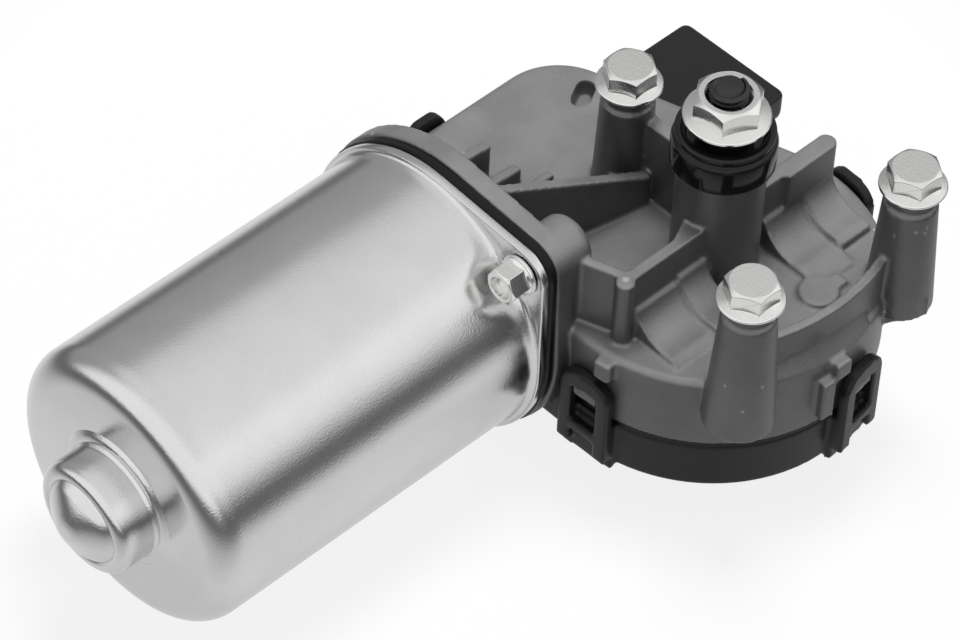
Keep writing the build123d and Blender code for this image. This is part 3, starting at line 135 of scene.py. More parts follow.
def solid_copy(node_name, name):
    """Copy a solid's mesh and merge its loose triangles."""
    piece = bpy.data.objects.new(name, nodes[node_name].data.copy())
    bpy.context.scene.collection.objects.link(piece)
    make_active(piece)
    bpy.ops.object.mode_set(mode="EDIT")
    bpy.ops.mesh.select_all(action="SELECT")
    bpy.ops.mesh.remove_doubles(threshold=0.001 * MM)
    bpy.ops.object.mode_set(mode="OBJECT")
    return piece


def even_grid(piece, grid):
    """Remesh a piece on a grid in millimetres, which also fuses what was joined to it."""
    remesh = piece.modifiers.new("even_grid", "REMESH")
    remesh.mode = "VOXEL"
    remesh.voxel_size = grid * MM
    apply_modifiers(piece)


def mould_radius(piece, rounds, most_triangles):
    """Soften all edges as a mould does, and thin the mesh to a number of triangles."""
    soften = piece.modifiers.new("mould_radius", "SMOOTH")
    soften.factor = 0.5
    soften.iterations = rounds
    triangles = 2 * len(piece.data.polygons)
    if triangles > most_triangles:
        thin = piece.modifiers.new("thinned", "DECIMATE")
        thin.ratio = most_triangles / triangles
    apply_modifiers(piece)
    bpy.ops.object.shade_smooth()


def add_block(piece, low, high):
    """Join a block, given by two corners in millimetres, to a piece that is remeshed later."""
    nothing_selected()
    centre = [(one + other) / 2 * MM for one, other in zip(low, high)]
    size = [(other - one) * MM for one, other in zip(low, high)]
    bpy.ops.mesh.primitive_cube_add(size=1, location=centre, scale=size)
    join_to(piece, bpy.context.object)


def add_post(piece, centre, radius, depth):
    """Join an upright round post, in millimetres, to a piece that is remeshed later."""
    nothing_selected()
    bpy.ops.mesh.primitive_cylinder_add(vertices=48, radius=radius * MM, depth=depth * MM,
                                        location=Vector(centre) * MM)
    join_to(piece, bpy.context.object)


def dress(piece, finish, slot, body, *replaced):
    """Give a finished piece its material and body, and hide the solids that it stands for. The slot is not
    used.
    """
    piece.data.materials.clear()
    piece.data.materials.append(finish)
    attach(piece, body)
    if replaced:
        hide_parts(*replaced)


def new_group(name, inputs, outputs):
    """A shader node group. Inputs are (label, kind, value), outputs are (label, kind)."""
    group = bpy.data.node_groups.new(name, "ShaderNodeTree")
    for label, kind, value in inputs:
        socket = group.interface.new_socket(label, in_out="INPUT", socket_type=kind)
        socket.default_value = value
    for label, kind in outputs:
        group.interface.new_socket(label, in_out="OUTPUT", socket_type=kind)
    return group, group.nodes.new("NodeGroupInput"), group.nodes.new("NodeGroupOutput")


# Grain: two sizes of noise that tilt the surface and mottle its colour
grain_group, given, made = new_group(
    "surface_grain",
    [("Scale", "NodeSocketFloat", 1000.0), ("Depth", "NodeSocketFloat", 0.3)],
    [("Mottle", "NodeSocketFloat"), ("Patch", "NodeSocketFloat"), ("Normal", "NodeSocketVector")],
)
place = grain_group.nodes.new("ShaderNodeTexCoord")
fine = grain_group.nodes.new("ShaderNodeTexNoise")
fine.inputs["Detail"].default_value = 4.0
patch = grain_group.nodes.new("ShaderNodeTexNoise")
patch.inputs["Scale"].default_value = 90.0
patch.inputs["Detail"].default_value = 3.0
bump = grain_group.nodes.new("ShaderNodeBump")
bump.inputs["Distance"].default_value = 0.00008
grain_group.links.new(place.outputs["Object"], fine.inputs["Vector"])
grain_group.links.new(place.outputs["Object"], patch.inputs["Vector"])
grain_group.links.new(given.outputs["Scale"], fine.inputs["Scale"])
grain_group.links.new(given.outputs["Depth"], bump.inputs["Strength"])
grain_group.links.new(fine.outputs["Fac"], bump.inputs["Height"])
grain_group.links.new(fine.outputs["Fac"], made.inputs["Mottle"])
grain_group.links.new(patch.outputs["Fac"], made.inputs["Patch"])
grain_group.links.new(bump.outputs["Normal"], made.inputs["Normal"])

# Edge wear and a painted edge highlight: a mask that is 1 on outer edges, from the mesh's own curvature
wear_and_highlight_group, given, made = new_group(
    "edge_wear_and_highlight",
    [("From", "NodeSocketFloat", 0.52), ("To", "NodeSocketFloat", 0.62)],
    [("Edge", "NodeSocketFloat")],
)
shape = wear_and_highlight_group.nodes.new("ShaderNodeNewGeometry")
spread = wear_and_highlight_group.nodes.new("ShaderNodeMapRange")
wear_and_highlight_group.links.new(shape.outputs["Pointiness"], spread.inputs["Value"])
wear_and_highlight_group.links.new(given.outputs["From"], spread.inputs["From Min"])
wear_and_highlight_group.links.new(given.outputs["To"], spread.inputs["From Max"])
wear_and_highlight_group.links.new(spread.outputs["Result"], made.inputs["Edge"])


def new_finish(name, dark, light, roughness, metallic, scale, depth, patchy=0.5):
    """A material whose colour and roughness wander between two values with the grain."""
    finish = bpy.data.materials.new(name)
    finish.use_nodes = True
    tree = finish.node_tree
    shader = tree.nodes["Principled BSDF"]
    grain = tree.nodes.new("ShaderNodeGroup")
    grain.node_tree = grain_group
    grain.inputs["Scale"].default_value = scale
    grain.inputs["Depth"].default_value = depth
    blend = tree.nodes.new("ShaderNodeMix")
    blend.inputs["Factor"].default_value = patchy
    tree.links.new(grain.outputs["Mottle"], blend.inputs["A"])
    tree.links.new(grain.outputs["Patch"], blend.inputs["B"])
    tint = tree.nodes.new("ShaderNodeMix")
    tint.data_type = "RGBA"
    tint.inputs["A"].default_value = (*dark, 1)
    tint.inputs["B"].default_value = (*light, 1)
    tree.links.new(blend.outputs["Result"], tint.inputs["Factor"])
    tree.links.new(tint.outputs["Result"], shader.inputs["Base Color"])
    rough = tree.nodes.new("ShaderNodeMapRange")
    rough.inputs["To Min"].default_value = roughness[0]
    rough.inputs["To Max"].default_value = roughness[1]
    tree.links.new(blend.outputs["Result"], rough.inputs["Value"])
    tree.links.new(rough.outputs["Result"], shader.inputs["Roughness"])
    tree.links.new(grain.outputs["Normal"], shader.inputs["Normal"])
    shader.inputs["Metallic"].default_value = metallic
    return finish


def lay_over(finish, mix):
    """Lead a material's colour so far through a colour mix."""
    base = finish.node_tree.nodes["Principled BSDF"].inputs["Base Color"]
    finish.node_tree.links.new(base.links[0].from_socket, mix.inputs["A"])
    finish.node_tree.links.new(mix.outputs["Result"], base)


def weaken_shine(finish, level):
    """Give a black material less mirror light than its smoothness alone would."""
    finish.node_tree.nodes["Principled BSDF"].inputs["Specular IOR Level"].default_value = level


def add_worn_and_highlit_edges(finish, color, start, end):
    """Lighten a material's outer edges towards a colour, partly as wear and partly as a painted highlight."""
    tree = finish.node_tree
    wear_and_highlight = tree.nodes.new("ShaderNodeGroup")
    wear_and_highlight.node_tree = wear_and_highlight_group
    wear_and_highlight.inputs["From"].default_value = start
    wear_and_highlight.inputs["To"].default_value = end
    lighten = tree.nodes.new("ShaderNodeMix")
    lighten.data_type = "RGBA"
    lighten.inputs["B"].default_value = (*color, 1)
    tree.links.new(wear_and_highlight.outputs["Edge"], lighten.inputs["Factor"])
    lay_over(finish, lighten)


def add_painted_wall_shade(finish, low, high):
    """Darken the steep walls with painted shade: the more upright a face, the darker its colour."""
    tree = finish.node_tree
    facing = tree.nodes.new("ShaderNodeNewGeometry")
    split = tree.nodes.new("ShaderNodeSeparateXYZ")
    steep = tree.nodes.new("ShaderNodeMapRange")
    steep.inputs["From Max"].default_value = 0.9
    steep.inputs["To Min"].default_value = low
    steep.inputs["To Max"].default_value = high
    rubs_and_painted_shade = tree.nodes.new("ShaderNodeMix")
    rubs_and_painted_shade.data_type = "RGBA"
    rubs_and_painted_shade.blend_type = "MULTIPLY"
    rubs_and_painted_shade.inputs["Factor"].default_value = 1.0
    tree.links.new(facing.outputs["Normal"], split.inputs["Vector"])
    tree.links.new(split.outputs["Z"], steep.inputs["Value"])
    tree.links.new(steep.outputs["Result"], rubs_and_painted_shade.inputs["B"])
    lay_over(finish, rubs_and_painted_shade)


def add_speckle(finish, color, scale, share):
    """Strew small bright rubs over a material, where its raised grain has been polished."""
    tree = finish.node_tree
    place = tree.nodes.new("ShaderNodeTexCoord")
    spots = tree.nodes.new("ShaderNodeTexNoise")
    spots.inputs["Scale"].default_value = scale
    spots.inputs["Detail"].default_value = 8.0
    spots.inputs["Roughness"].default_value = 0.75
    only_high = tree.nodes.new("ShaderNodeMapRange")
    only_high.inputs["From Min"].default_value = 0.58
    only_high.inputs["From Max"].default_value = 0.72
    only_high.inputs["To Max"].default_value = share
    rubs_and_painted_shade = tree.nodes.new("ShaderNodeMix")
    rubs_and_painted_shade.data_type = "RGBA"
    rubs_and_painted_shade.inputs["B"].default_value = (*color, 1)
    tree.links.new(place.outputs["Object"], spots.inputs["Vector"])
    tree.links.new(spots.outputs["Fac"], only_high.inputs["Value"])
    tree.links.new(only_high.outputs["Result"], rubs_and_painted_shade.inputs["Factor"])
    lay_over(finish, rubs_and_painted_shade)


cast_finish = new_finish("cast_aluminium", dark=(0.15, 0.15, 0.15), light=(0.34, 0.34, 0.34),
                         roughness=(0.34, 0.48), metallic=0.5, scale=1500.0, depth=0.9, patchy=0.8)
add_speckle(cast_finish, (0.5, 0.5, 0.5), scale=750.0, share=0.12)
# The paler outer edges are partly wear and partly a painted highlight.
add_worn_and_highlit_edges(cast_finish, (0.7, 0.7, 0.7), start=0.56, end=0.72)
# Painted shade: the steep walls are darkened, so that they look less lit than the flat tops.
add_painted_wall_shade(cast_finish, low=0.5, high=1.0)
BACK_WALL_Y = 65.2
BACK_CLIP_X = -11.0
BACK_CLIP_SHIFT = -6.4
BACK_LUG_REACH = 3.1
BACK_LUG_LOW = 17.4
BACK_LUG_HIGH = 20.2
housing = solid_copy("gear_housing", "housing_casting")
for vertex in housing.data.vertices:
    x, y, z = vertex.co / MM
    on_lug = abs(x - BACK_CLIP_X) < BACK_LUG_REACH and BACK_LUG_LOW < z < BACK_LUG_HIGH
    if y > BACK_WALL_Y - 0.05 and on_lug:
        vertex.co.x += BACK_CLIP_SHIFT * MM

# A raised pad and its stop on the bowl's floor, the lowest of the three webs behind the flange,
# and the rib's right-hand part, which is thicker and ends round
PAD = {"centre": (8.1, -21.8, 31.0), "radius": 4.3, "depth": 3.0}
PAD_STOP = {"low": (11.6, -24.0, 29.6), "high": (14.8, -20.6, 32.4)}
LOWEST_WEB = {"low": (-36.0, 36.4, 29.6), "high": (-9.4, 38.6, 34.0)}
RIB_END = {"centre": (28.2, -3.3, 40.0), "radius": 2.2, "depth": 16.0}
THICK_RIB = {"low": (15.0, -5.5, 36.0), "high": (28.2, -1.2, 48.0)}
add_post(housing, **PAD)
add_post(housing, **RIB_END)
add_block(housing, **PAD_STOP)
add_block(housing, **LOWEST_WEB)
add_block(housing, **THICK_RIB)
even_grid(housing, grid=0.45)

# The long pocket in the roof is cored out deeper than the roof is thick
POCKET_CENTRE = Vector((13.8, 51.1, 0))
POCKET_TURN = math.radians(28)
POCKET_ALONG = Vector((math.cos(POCKET_TURN), math.sin(POCKET_TURN), 0))
POCKET_HALF_LENGTH = 2.0
POCKET_FLOOR_RADIUS = 1.8
POCKET_FLOOR_LOW = 29.2
POCKET_FLOOR_HIGH = 30.5
POCKET_DROP = 2.4
for vertex in housing.data.vertices:
    x, y, z = vertex.co / MM
    if POCKET_FLOOR_LOW < z < POCKET_FLOOR_HIGH:
        beside = Vector((x, y, 0)) - POCKET_CENTRE
        reach = max(-POCKET_HALF_LENGTH, min(POCKET_HALF_LENGTH, beside.dot(POCKET_ALONG)))
        if (beside - POCKET_ALONG * reach).length < POCKET_FLOOR_RADIUS:
            vertex.co.z -= POCKET_DROP * MM
mould_radius(housing, rounds=4, most_triangles=195000)
dress(housing, cast_finish, "cast_aluminium", "housing", "gear_housing")

# Gear cover: a black moulded tray under the casting, held by sprung loops that hook over cast lugs.
# Its rubber seal shows as a thin dark line.
plastic_finish = new_finish("black_plastic", dark=(0.006, 0.006, 0.006), light=(0.016, 0.016, 0.016),
                            roughness=(0.3, 0.42), metallic=0.0, scale=1400.0, depth=0.25)
weaken_shine(plastic_finish, 0.25)
BACK_CLIP_HALF_WIDTH = 6.6
BACK_CLIP_TOP = 24.5
BACK_CLIP_REACH = 33.2
STRETCH_FROM = 16.0
cover = solid_copy("gear_cover", "cover_moulding")
for vertex in cover.data.vertices:
    x, y, z = vertex.co / MM
    if y > BACK_WALL_Y + 0.05 and abs(x - BACK_CLIP_X) < BACK_CLIP_HALF_WIDTH:
        vertex.co.x += BACK_CLIP_SHIFT * MM
        if z > STRETCH_FROM:
            stretch = (BACK_CLIP_REACH - STRETCH_FROM) / (BACK_CLIP_TOP - STRETCH_FROM)
            vertex.co.z = (STRETCH_FROM + (z - STRETCH_FROM) * stretch) * MM
even_grid(cover, grid=0.45)
mould_radius(cover, rounds=3, most_triangles=150000)
dress(cover, plastic_finish, "black_plastic", "housing", "gear_cover")
rubber_finish = new_finish("black_rubber", dark=(0.003, 0.003, 0.003), light=(0.008, 0.008, 0.008),
                           roughness=(0.3, 0.42), metallic=0.0, scale=1100.0, depth=0.2)
weaken_shine(rubber_finish, 0.2)
dress(nodes["cover_seal"], rubber_finish, "black_rubber", "housing")

# Connector: a flat black shell moulded beside the bay, open at its far end for the plug. Its upright
# corners are rounded. Five stamped brass blades stand inside its mouth.
CONNECTOR_TIP = 47.5
CONNECTOR_SIDES = [(-1, 24.0), (1, 53.5)]
CORNER_RADIUS = 1.8
connector = solid_copy("connector_housing", "connector_moulding")
even_grid(connector, grid=0.4)
for vertex in connector.data.vertices:
    x, y, z = vertex.co / MM
    for side, edge in CONNECTOR_SIDES:
        past_x = x - (CONNECTOR_TIP - CORNER_RADIUS)
        past_y = side * (y - edge) + CORNER_RADIUS
        if past_x > 0 and past_y > 0:
            pull = max(past_x, past_y) / math.hypot(past_x, past_y)
            vertex.co.x = (CONNECTOR_TIP - CORNER_RADIUS + past_x * pull) * MM
            vertex.co.y = (edge + side * (past_y * pull - CORNER_RADIUS)) * MM
mould_radius(connector, rounds=6, most_triangles=120000)
dress(connector, plastic_finish, "black_plastic", "housing", "connector_housing")
brass_finish = new_finish("brass", dark=(0.55, 0.38, 0.14), light=(0.8, 0.6, 0.28),
                          roughness=(0.25, 0.4), metallic=1.0, scale=1800.0, depth=0.15)
dress(nodes["connector_pins"], brass_finish, "brass", "housing")

# Motor can: deep-drawn steel, zinc plated, with a stepped boss for the rear bearing and a rim that is
# rolled flat. The wall is pressed in beside each screw, to make room for its head.
MOTOR_CENTRE = Vector((0, 38.5, 22.6)) * MM
ALONG = Vector((1, 0, 0))
CAN_RADIUS = 31.1
CAN_WALL = 1.7
CAN_END = -127.0
CAN_CORNER = 6.3
CAN_MOUTH = -41.5
RIM_BACK = -43.7
BOSS_END = -136.6
BOSS_RADIUS = 12.6
BOSS_CORNER = 2.4
DOME_RADIUS = 9.2
DOME_TIP = -140.6
EAR_PLACES = [Vector((0, -25.88, 24.30)), Vector((0, 25.88, -24.30))]


def arc(centre, radius, start, end, count):
    """Points of an arc, each (along, radius), from one angle to another."""
    angles = [math.radians(start + (end - start) * step / count) for step in range(count + 1)]
    return [(centre[0] + radius * math.cos(turn), centre[1] + radius * math.sin(turn)) for turn in angles]


def turned_piece(name, outline, centre, direction, steps=96):
    """Draw an outline of (along, radius) points in millimetres beside an axis, and spin it once round."""
    across = direction.orthogonal().normalized()
    spots = [centre + (direction * along + across * radius) * MM for along, radius in outline]
    nothing_selected()
    bpy.ops.mesh.primitive_plane_add(size=MM)
    piece = bpy.context.object
    piece.name = name
    bpy.ops.object.mode_set(mode="EDIT")
    bpy.ops.mesh.select_mode(type="VERT")
    bpy.ops.mesh.select_all(action="SELECT")
    bpy.ops.mesh.merge(type="CENTER")
    bpy.ops.transform.translate(value=spots[0], orient_type="GLOBAL")
    for start, end in zip(spots, spots[1:]):
        bpy.ops.mesh.extrude_region_move(
            TRANSFORM_OT_translate={"value": end - start, "orient_type": "GLOBAL"})
    bpy.ops.mesh.select_all(action="SELECT")
    bpy.ops.mesh.spin(steps=steps, angle=2 * math.pi, center=centre, axis=direction)
    close_mesh()
    return piece


def round_edges(piece, width, segments=3, angle=30):
    """Round every edge sharper than an angle, by a width in millimetres."""
    edge = piece.modifiers.new("rounded_edges", "BEVEL")
    edge.width = width * MM
    edge.segments = segments
    edge.limit_method = "ANGLE"
    edge.angle_limit = math.radians(angle)
    apply_modifiers(piece)
    bpy.ops.object.shade_smooth_by_angle(angle=math.radians(22))


def cut_with(piece, tool, operation):
    """Join or cut a piece with a tool, and take the tool away."""
    boolean = piece.modifiers.new("cut", "BOOLEAN")
    boolean.operation = operation
    boolean.solver = "EXACT"
    boolean.object = tool
    apply_modifiers(piece)
    bpy.data.objects.remove(tool)
    bpy.ops.object.mode_set(mode="EDIT")
    bpy.ops.mesh.select_all(action="SELECT")
    bpy.ops.mesh.dissolve_limited(angle_limit=math.radians(0.5))
    bpy.ops.object.mode_set(mode="OBJECT")


outer_wall = [(DOME_TIP, 0), (DOME_TIP, 1.4), (DOME_TIP + 0.12, 2.3), (DOME_TIP + 0.6, 3.6)]
outer_wall += [(DOME_TIP + 1.5, 5.5), (DOME_TIP + 2.5, 7.3), (DOME_TIP + 3.3, 8.4)]
outer_wall += [(BOSS_END + 0.1, DOME_RADIUS - 0.1), (BOSS_END + 0.4, DOME_RADIUS + 0.2)]
outer_wall += [(BOSS_END + 0.1, DOME_RADIUS + 0.6)]
outer_wall += arc((BOSS_END + BOSS_CORNER, BOSS_RADIUS - BOSS_CORNER), BOSS_CORNER, 180, 90, 6)
outer_wall += [(CAN_END - 1.5, BOSS_RADIUS), (CAN_END - 0.9, BOSS_RADIUS + 0.5), (CAN_END - 0.9, 14.0)]
outer_wall += [(CAN_END - 0.5, 14.6), (CAN_END, 15.3)]
outer_wall += arc((CAN_END + CAN_CORNER, CAN_RADIUS - CAN_CORNER), CAN_CORNER, 180, 90, 10)
outer_wall += [(-60.0 + 0.6 * step, CAN_RADIUS) for step in range(25)]
outer_wall += arc((RIM_BACK - 1.0, CAN_RADIUS + 1.4), 1.4, -90, 0, 6)[1:]
outer_wall += [(CAN_MOUTH - 0.4, CAN_RADIUS + 1.2)]
inner_wall = [(CAN_MOUTH, CAN_RADIUS + 0.5), (CAN_MOUTH, CAN_RADIUS - CAN_WALL)]
inner_wall += arc((CAN_END + CAN_CORNER, CAN_RADIUS - CAN_CORNER), CAN_CORNER - CAN_WALL, 90, 180, 5)
inner_wall += [(CAN_END + CAN_WALL, BOSS_RADIUS - CAN_WALL), (BOSS_END + CAN_WALL, BOSS_RADIUS - CAN_WALL)]
inner_wall += [(BOSS_END + CAN_WALL, 0)]
can = turned_piece("can_shell", outer_wall + inner_wall, MOTOR_CENTRE, ALONG, 200)

# The rim: a flat collar with two ears, its front face dished inside a raised edge
RIM_RADIUS = 32.7
RIM_EDGE = 1.3
RIM_DISH = 0.7
EAR_RADIUS = 6.5
EAR_HOLE_RADIUS = 2.6


def collar(name, back_x, front_x, grow):
    """A flat plate round the can's mouth, with both ears, made as a hull round three circles."""
    nothing_selected()
    spots = [(MOTOR_CENTRE, RIM_RADIUS + grow)]
    spots += [(MOTOR_CENTRE + ear * MM, EAR_RADIUS + grow) for ear in EAR_PLACES]
    for number, (spot, radius) in enumerate(spots):
        bpy.ops.mesh.primitive_circle_add(vertices=96, radius=radius * MM, rotation=(0, math.pi / 2, 0),
                                          location=spot + ALONG * back_x * MM)
        bpy.context.object.name = f"{name}_{number}"
    for number in range(len(spots)):
        bpy.data.objects[f"{name}_{number}"].select_set(True)
    bpy.ops.object.join()
    piece = bpy.context.object
    piece.name = name
    bpy.ops.object.transform_apply(location=True, rotation=True, scale=True)
    bpy.ops.object.mode_set(mode="EDIT")
    bpy.ops.mesh.select_all(action="SELECT")
    bpy.ops.mesh.convex_hull(join_triangles=True)
    bpy.ops.mesh.select_all(action="SELECT")
    bpy.ops.mesh.dissolve_limited(angle_limit=math.radians(1))
    bpy.ops.mesh.select_all(action="SELECT")
    bpy.ops.mesh.extrude_region_move(
        TRANSFORM_OT_translate={"value": ALONG * (front_x - back_x) * MM, "orient_type": "GLOBAL"})
    bpy.ops.mesh.select_all(action="SELECT")
    bpy.ops.mesh.normals_make_consistent(inside=False)
    bpy.ops.object.mode_set(mode="OBJECT")
    return piece


def bore(piece, centre, direction, radius, length, segments=96):
    """Cut a round hole through a piece."""
    nothing_selected()
    turn = direction.to_track_quat("Z", "Y").to_euler()
    bpy.ops.mesh.primitive_cylinder_add(vertices=segments, radius=radius * MM, depth=length * MM,
                                        location=centre, rotation=turn)
    cut_with(piece, bpy.context.object, "DIFFERENCE")


rim = collar("can_rim", RIM_BACK, CAN_MOUTH, grow=0.0)
make_active(rim)
bpy.ops.object.mode_set(mode="EDIT")
bpy.ops.mesh.select_mode(type="FACE")
bpy.ops.mesh.select_all(action="DESELECT")
bpy.ops.object.mode_set(mode="OBJECT")
for face in rim.data.polygons:
    face.select = face.normal.x < -0.9
bpy.ops.object.mode_set(mode="EDIT")
bpy.ops.mesh.inset(thickness=RIM_EDGE * MM)
bpy.ops.transform.translate(value=ALONG * RIM_DISH * MM, orient_type="GLOBAL")
bpy.ops.object.mode_set(mode="OBJECT")
bore(rim, MOTOR_CENTRE + ALONG * CAN_MOUTH * MM, ALONG, radius=CAN_RADIUS - CAN_WALL + 0.1, length=10)
for ear in EAR_PLACES:
    ear_centre = MOTOR_CENTRE + ear * MM + ALONG * CAN_MOUTH * MM
    bore(rim, ear_centre, ALONG, radius=EAR_HOLE_RADIUS, length=10, segments=32)
round_edges(rim, 0.45)

# Each ear's screw head gets a smooth dent in the wall beside it
DENT_X = -46.5
DENT_LENGTH = 8.5
DENT_WIDTH = 8.5
DENT_DEPTH = 1.1
PLAIN_WALL_UNTIL = -62
for vertex in can.data.vertices:
    offset = vertex.co - MOTOR_CENTRE
    radial = Vector((0, offset.y, offset.z))
    if radial.length < (CAN_RADIUS - 0.5) * MM or vertex.co.x < PLAIN_WALL_UNTIL * MM:
        continue
    for ear in EAR_PLACES:
        beside = radial.angle(ear) * CAN_RADIUS
        reach = math.hypot((vertex.co.x / MM - DENT_X) / DENT_LENGTH, beside / DENT_WIDTH)
        if reach < 1:
            vertex.co -= radial.normalized() * DENT_DEPTH * MM * (1 - reach ** 2) ** 3
steel_finish = new_finish("drawn_steel", dark=(0.6, 0.6, 0.6), light=(0.79, 0.79, 0.79),
                          roughness=(0.12, 0.2), metallic=1.0, scale=2600.0, depth=0.4)
make_active(can)
bpy.ops.object.shade_smooth_by_angle(angle=math.radians(35))
join_to(can, rim)
dress(can, steel_finish, "drawn_steel", "housing", "motor_can")

# Gasket: a sheet of soft black rubber with the rim's outline, held by the same two screws. It is
# squeezed between rim and casting, so that its edge wavers.
GASKET_FRONT = -39.5
GASKET_MIDDLE = -40.5
gasket = collar("gasket_sheet", CAN_MOUTH, GASKET_FRONT, grow=0.35)
gasket_centre = MOTOR_CENTRE + ALONG * GASKET_MIDDLE * MM
bore(gasket, gasket_centre, ALONG, radius=CAN_RADIUS - CAN_WALL + 0.2, length=8)
round_edges(gasket, 0.5, segments=2)
wobble_shape = bpy.data.textures.new("gasket_wobble", "CLOUDS")
wobble_shape.noise_scale = 0.006
wobble = gasket.modifiers.new("wobble", "DISPLACE")
wobble.texture = wobble_shape
wobble.texture_coords = "LOCAL"
wobble.strength = 0.9 * MM
wobble.mid_level = 0.5
apply_modifiers(gasket)
dress(gasket, rubber_finish, "black_rubber", "housing", "motor_gasket")

# Mounting bolts: three M6 flange bolts, zinc plated, cold headed. The hex is chamfered on top by a
# cone, so each flat ends in an arc, and its foot runs out on the dished flange.
ORIGIN = Vector((0, 0, 0))
UP = Vector((0, 0, 1))
BOLT_PLACES = [(-22.7, -29.55, 30.0), (23.75, -29.85, 26.0), (2.4, 28.45, 28.0)]
BOLT_SEAT = 58.0


def hex_bar(name, across_flats, low, high):
    """An upright hexagonal bar at the origin, between two heights in millimetres."""
    nothing_selected()
    bpy.ops.mesh.primitive_cylinder_add(vertices=6, radius=across_flats / math.sqrt(3) * MM,
                                        depth=(high - low) * MM, location=(0, 0, (low + high) / 2 * MM))
    piece = bpy.context.object
    piece.name = name
    bpy.ops.object.transform_apply(location=True, rotation=True, scale=True)
    return piece


def flanged_head(name, across_flats, height, flange_radius, crown):
    """A flanged hexagon on the origin: a hexagonal bar turned down at its top, on a dished flange."""
    half = across_flats / 2
    head = hex_bar(name, across_flats, 0.3, height)
    blank = [(0.2, 0), (0.2, half * 1.3), (height - crown, half * 1.165), (height, half * 0.93), (height, 0)]
    cut_with(head, turned_piece("blank", blank, ORIGIN, UP, 144), "INTERSECT")
    flange = [(0, 0), (0, flange_radius - 0.3), (0.2, flange_radius), (0.6, flange_radius)]
    flange += [(0.8, flange_radius - 0.2), (1.15, half * 1.2), (1.5, half * 1.06)]
    flange += [(1.9, half * 0.9), (1.9, 0)]
    cut_with(head, turned_piece("flange", flange, ORIGIN, UP, 144), "UNION")
    return head


def break_edges(head, width):
    """Take the sharpness off a head's edges, and keep its flats flat."""
    round_edges(head, width, segments=2, angle=25)
    bpy.ops.object.shade_flat()


def another(piece, name):
    """A copy of a piece, with a mesh of its own."""
    copy = piece.copy()
    copy.data = piece.data.copy()
    copy.name = name
    bpy.context.scene.collection.objects.link(copy)
    return copy


def put_in_place(piece, place, turn):
    """Turn and move a piece, and write both into its mesh."""
    piece.location = place
    piece.rotation_euler = turn
    make_active(piece)
    bpy.ops.object.transform_apply(location=True, rotation=True, scale=True)


bolt = flanged_head("mounting_bolt", across_flats=10.0, height=5.4, flange_radius=7.0, crown=0.75)
break_edges(bolt, 0.12)
shank_outline = [(0.5, 0), (0.5, 3.0), (-19.4, 3.0), (-20.0, 2.4), (-20.0, 0)]
shank = turned_piece("shank", shank_outline, ORIGIN, UP, 32)
bpy.ops.object.shade_smooth_by_angle(angle=math.radians(30))
join_to(bolt, shank)
plated_finish = new_finish("plated_steel", dark=(0.7, 0.7, 0.69), light=(0.88, 0.88, 0.87),
                           roughness=(0.12, 0.2), metallic=1.0, scale=1700.0, depth=0.3)
for number, (bolt_x, bolt_y, turn) in enumerate(BOLT_PLACES):
    piece = another(bolt, f"mounting_bolt_{number + 1}")
    put_in_place(piece, Vector((bolt_x, bolt_y, BOLT_SEAT)) * MM, (0, 0, math.radians(turn)))
    dress(piece, plated_finish, "plated_steel", "housing", "mounting_bolts")
bpy.data.objects.remove(bolt)

# Can screws: two thread-forming screws through the can's ears, each with a small flanged hexagon
# and a round driving recess.
SCREW_HEIGHT = 5.9
screw = flanged_head("can_screw", across_flats=7.2, height=SCREW_HEIGHT, flange_radius=4.5, crown=0.5)
bore(screw, UP * SCREW_HEIGHT * MM, UP, radius=2.5, length=3.6, segments=32)
break_edges(screw, 0.12)
for number, ear in enumerate(EAR_PLACES):
    piece = another(screw, f"can_screw_{number + 1}")
    seat = MOTOR_CENTRE + ear * MM + ALONG * (RIM_BACK + 0.5) * MM
    put_in_place(piece, seat, (0, -math.pi / 2, 0))
    dress(piece, plated_finish, "plated_steel", "housing", "can_screws")
bpy.data.objects.remove(screw)

# Output shaft: hardened steel with a cone for the crank and a cut M8 thread, left dark by the
# heat treatment. It turns with the worm wheel.
THREAD_PITCH = 1.25
THREAD_TURNS = 6
THREAD_PROFILE = [(3.2, 71.2), (4.0, 71.62), (3.2, 72.24), (4.0, 71.82)]
shaft_outline = [(16.1, 0), (16.1, 4.6), (16.5, 5.0), (66.8, 5.0), (71.3, 4.5), (71.4, 3.35), (78.7, 3.35)]
shaft_outline += [(79.9, 2.75), (79.9, 0)]
shaft = turned_piece("crank_shaft", shaft_outline, ORIGIN, UP, 64)
round_edges(shaft, 0.12, segments=2, angle=25)
nothing_selected()
bpy.ops.mesh.primitive_plane_add(size=MM)
thread = bpy.context.object
thread.name = "thread"
for vertex, (radius, height) in zip(thread.data.vertices, THREAD_PROFILE):
    vertex.co = Vector((radius, 0, height)) * MM
winding = thread.modifiers.new("winding", "SCREW")
winding.axis = "Z"
winding.angle = 2 * math.pi
winding.screw_offset = THREAD_PITCH * MM
winding.iterations = THREAD_TURNS
winding.steps = 40
winding.render_steps = 40
winding.use_merge_vertices = False
apply_modifiers(thread)
close_mesh()
bpy.ops.object.shade_smooth_by_angle(angle=math.radians(30))
join_to(shaft, thread)
dark_steel_finish = new_finish("dark_steel", dark=(0.02, 0.02, 0.022), light=(0.06, 0.06, 0.062),
                               roughness=(0.25, 0.4), metallic=0.7, scale=1800.0, depth=0.2)
dress(shaft, dark_steel_finish, "bright_steel", "output", "output_shaft")

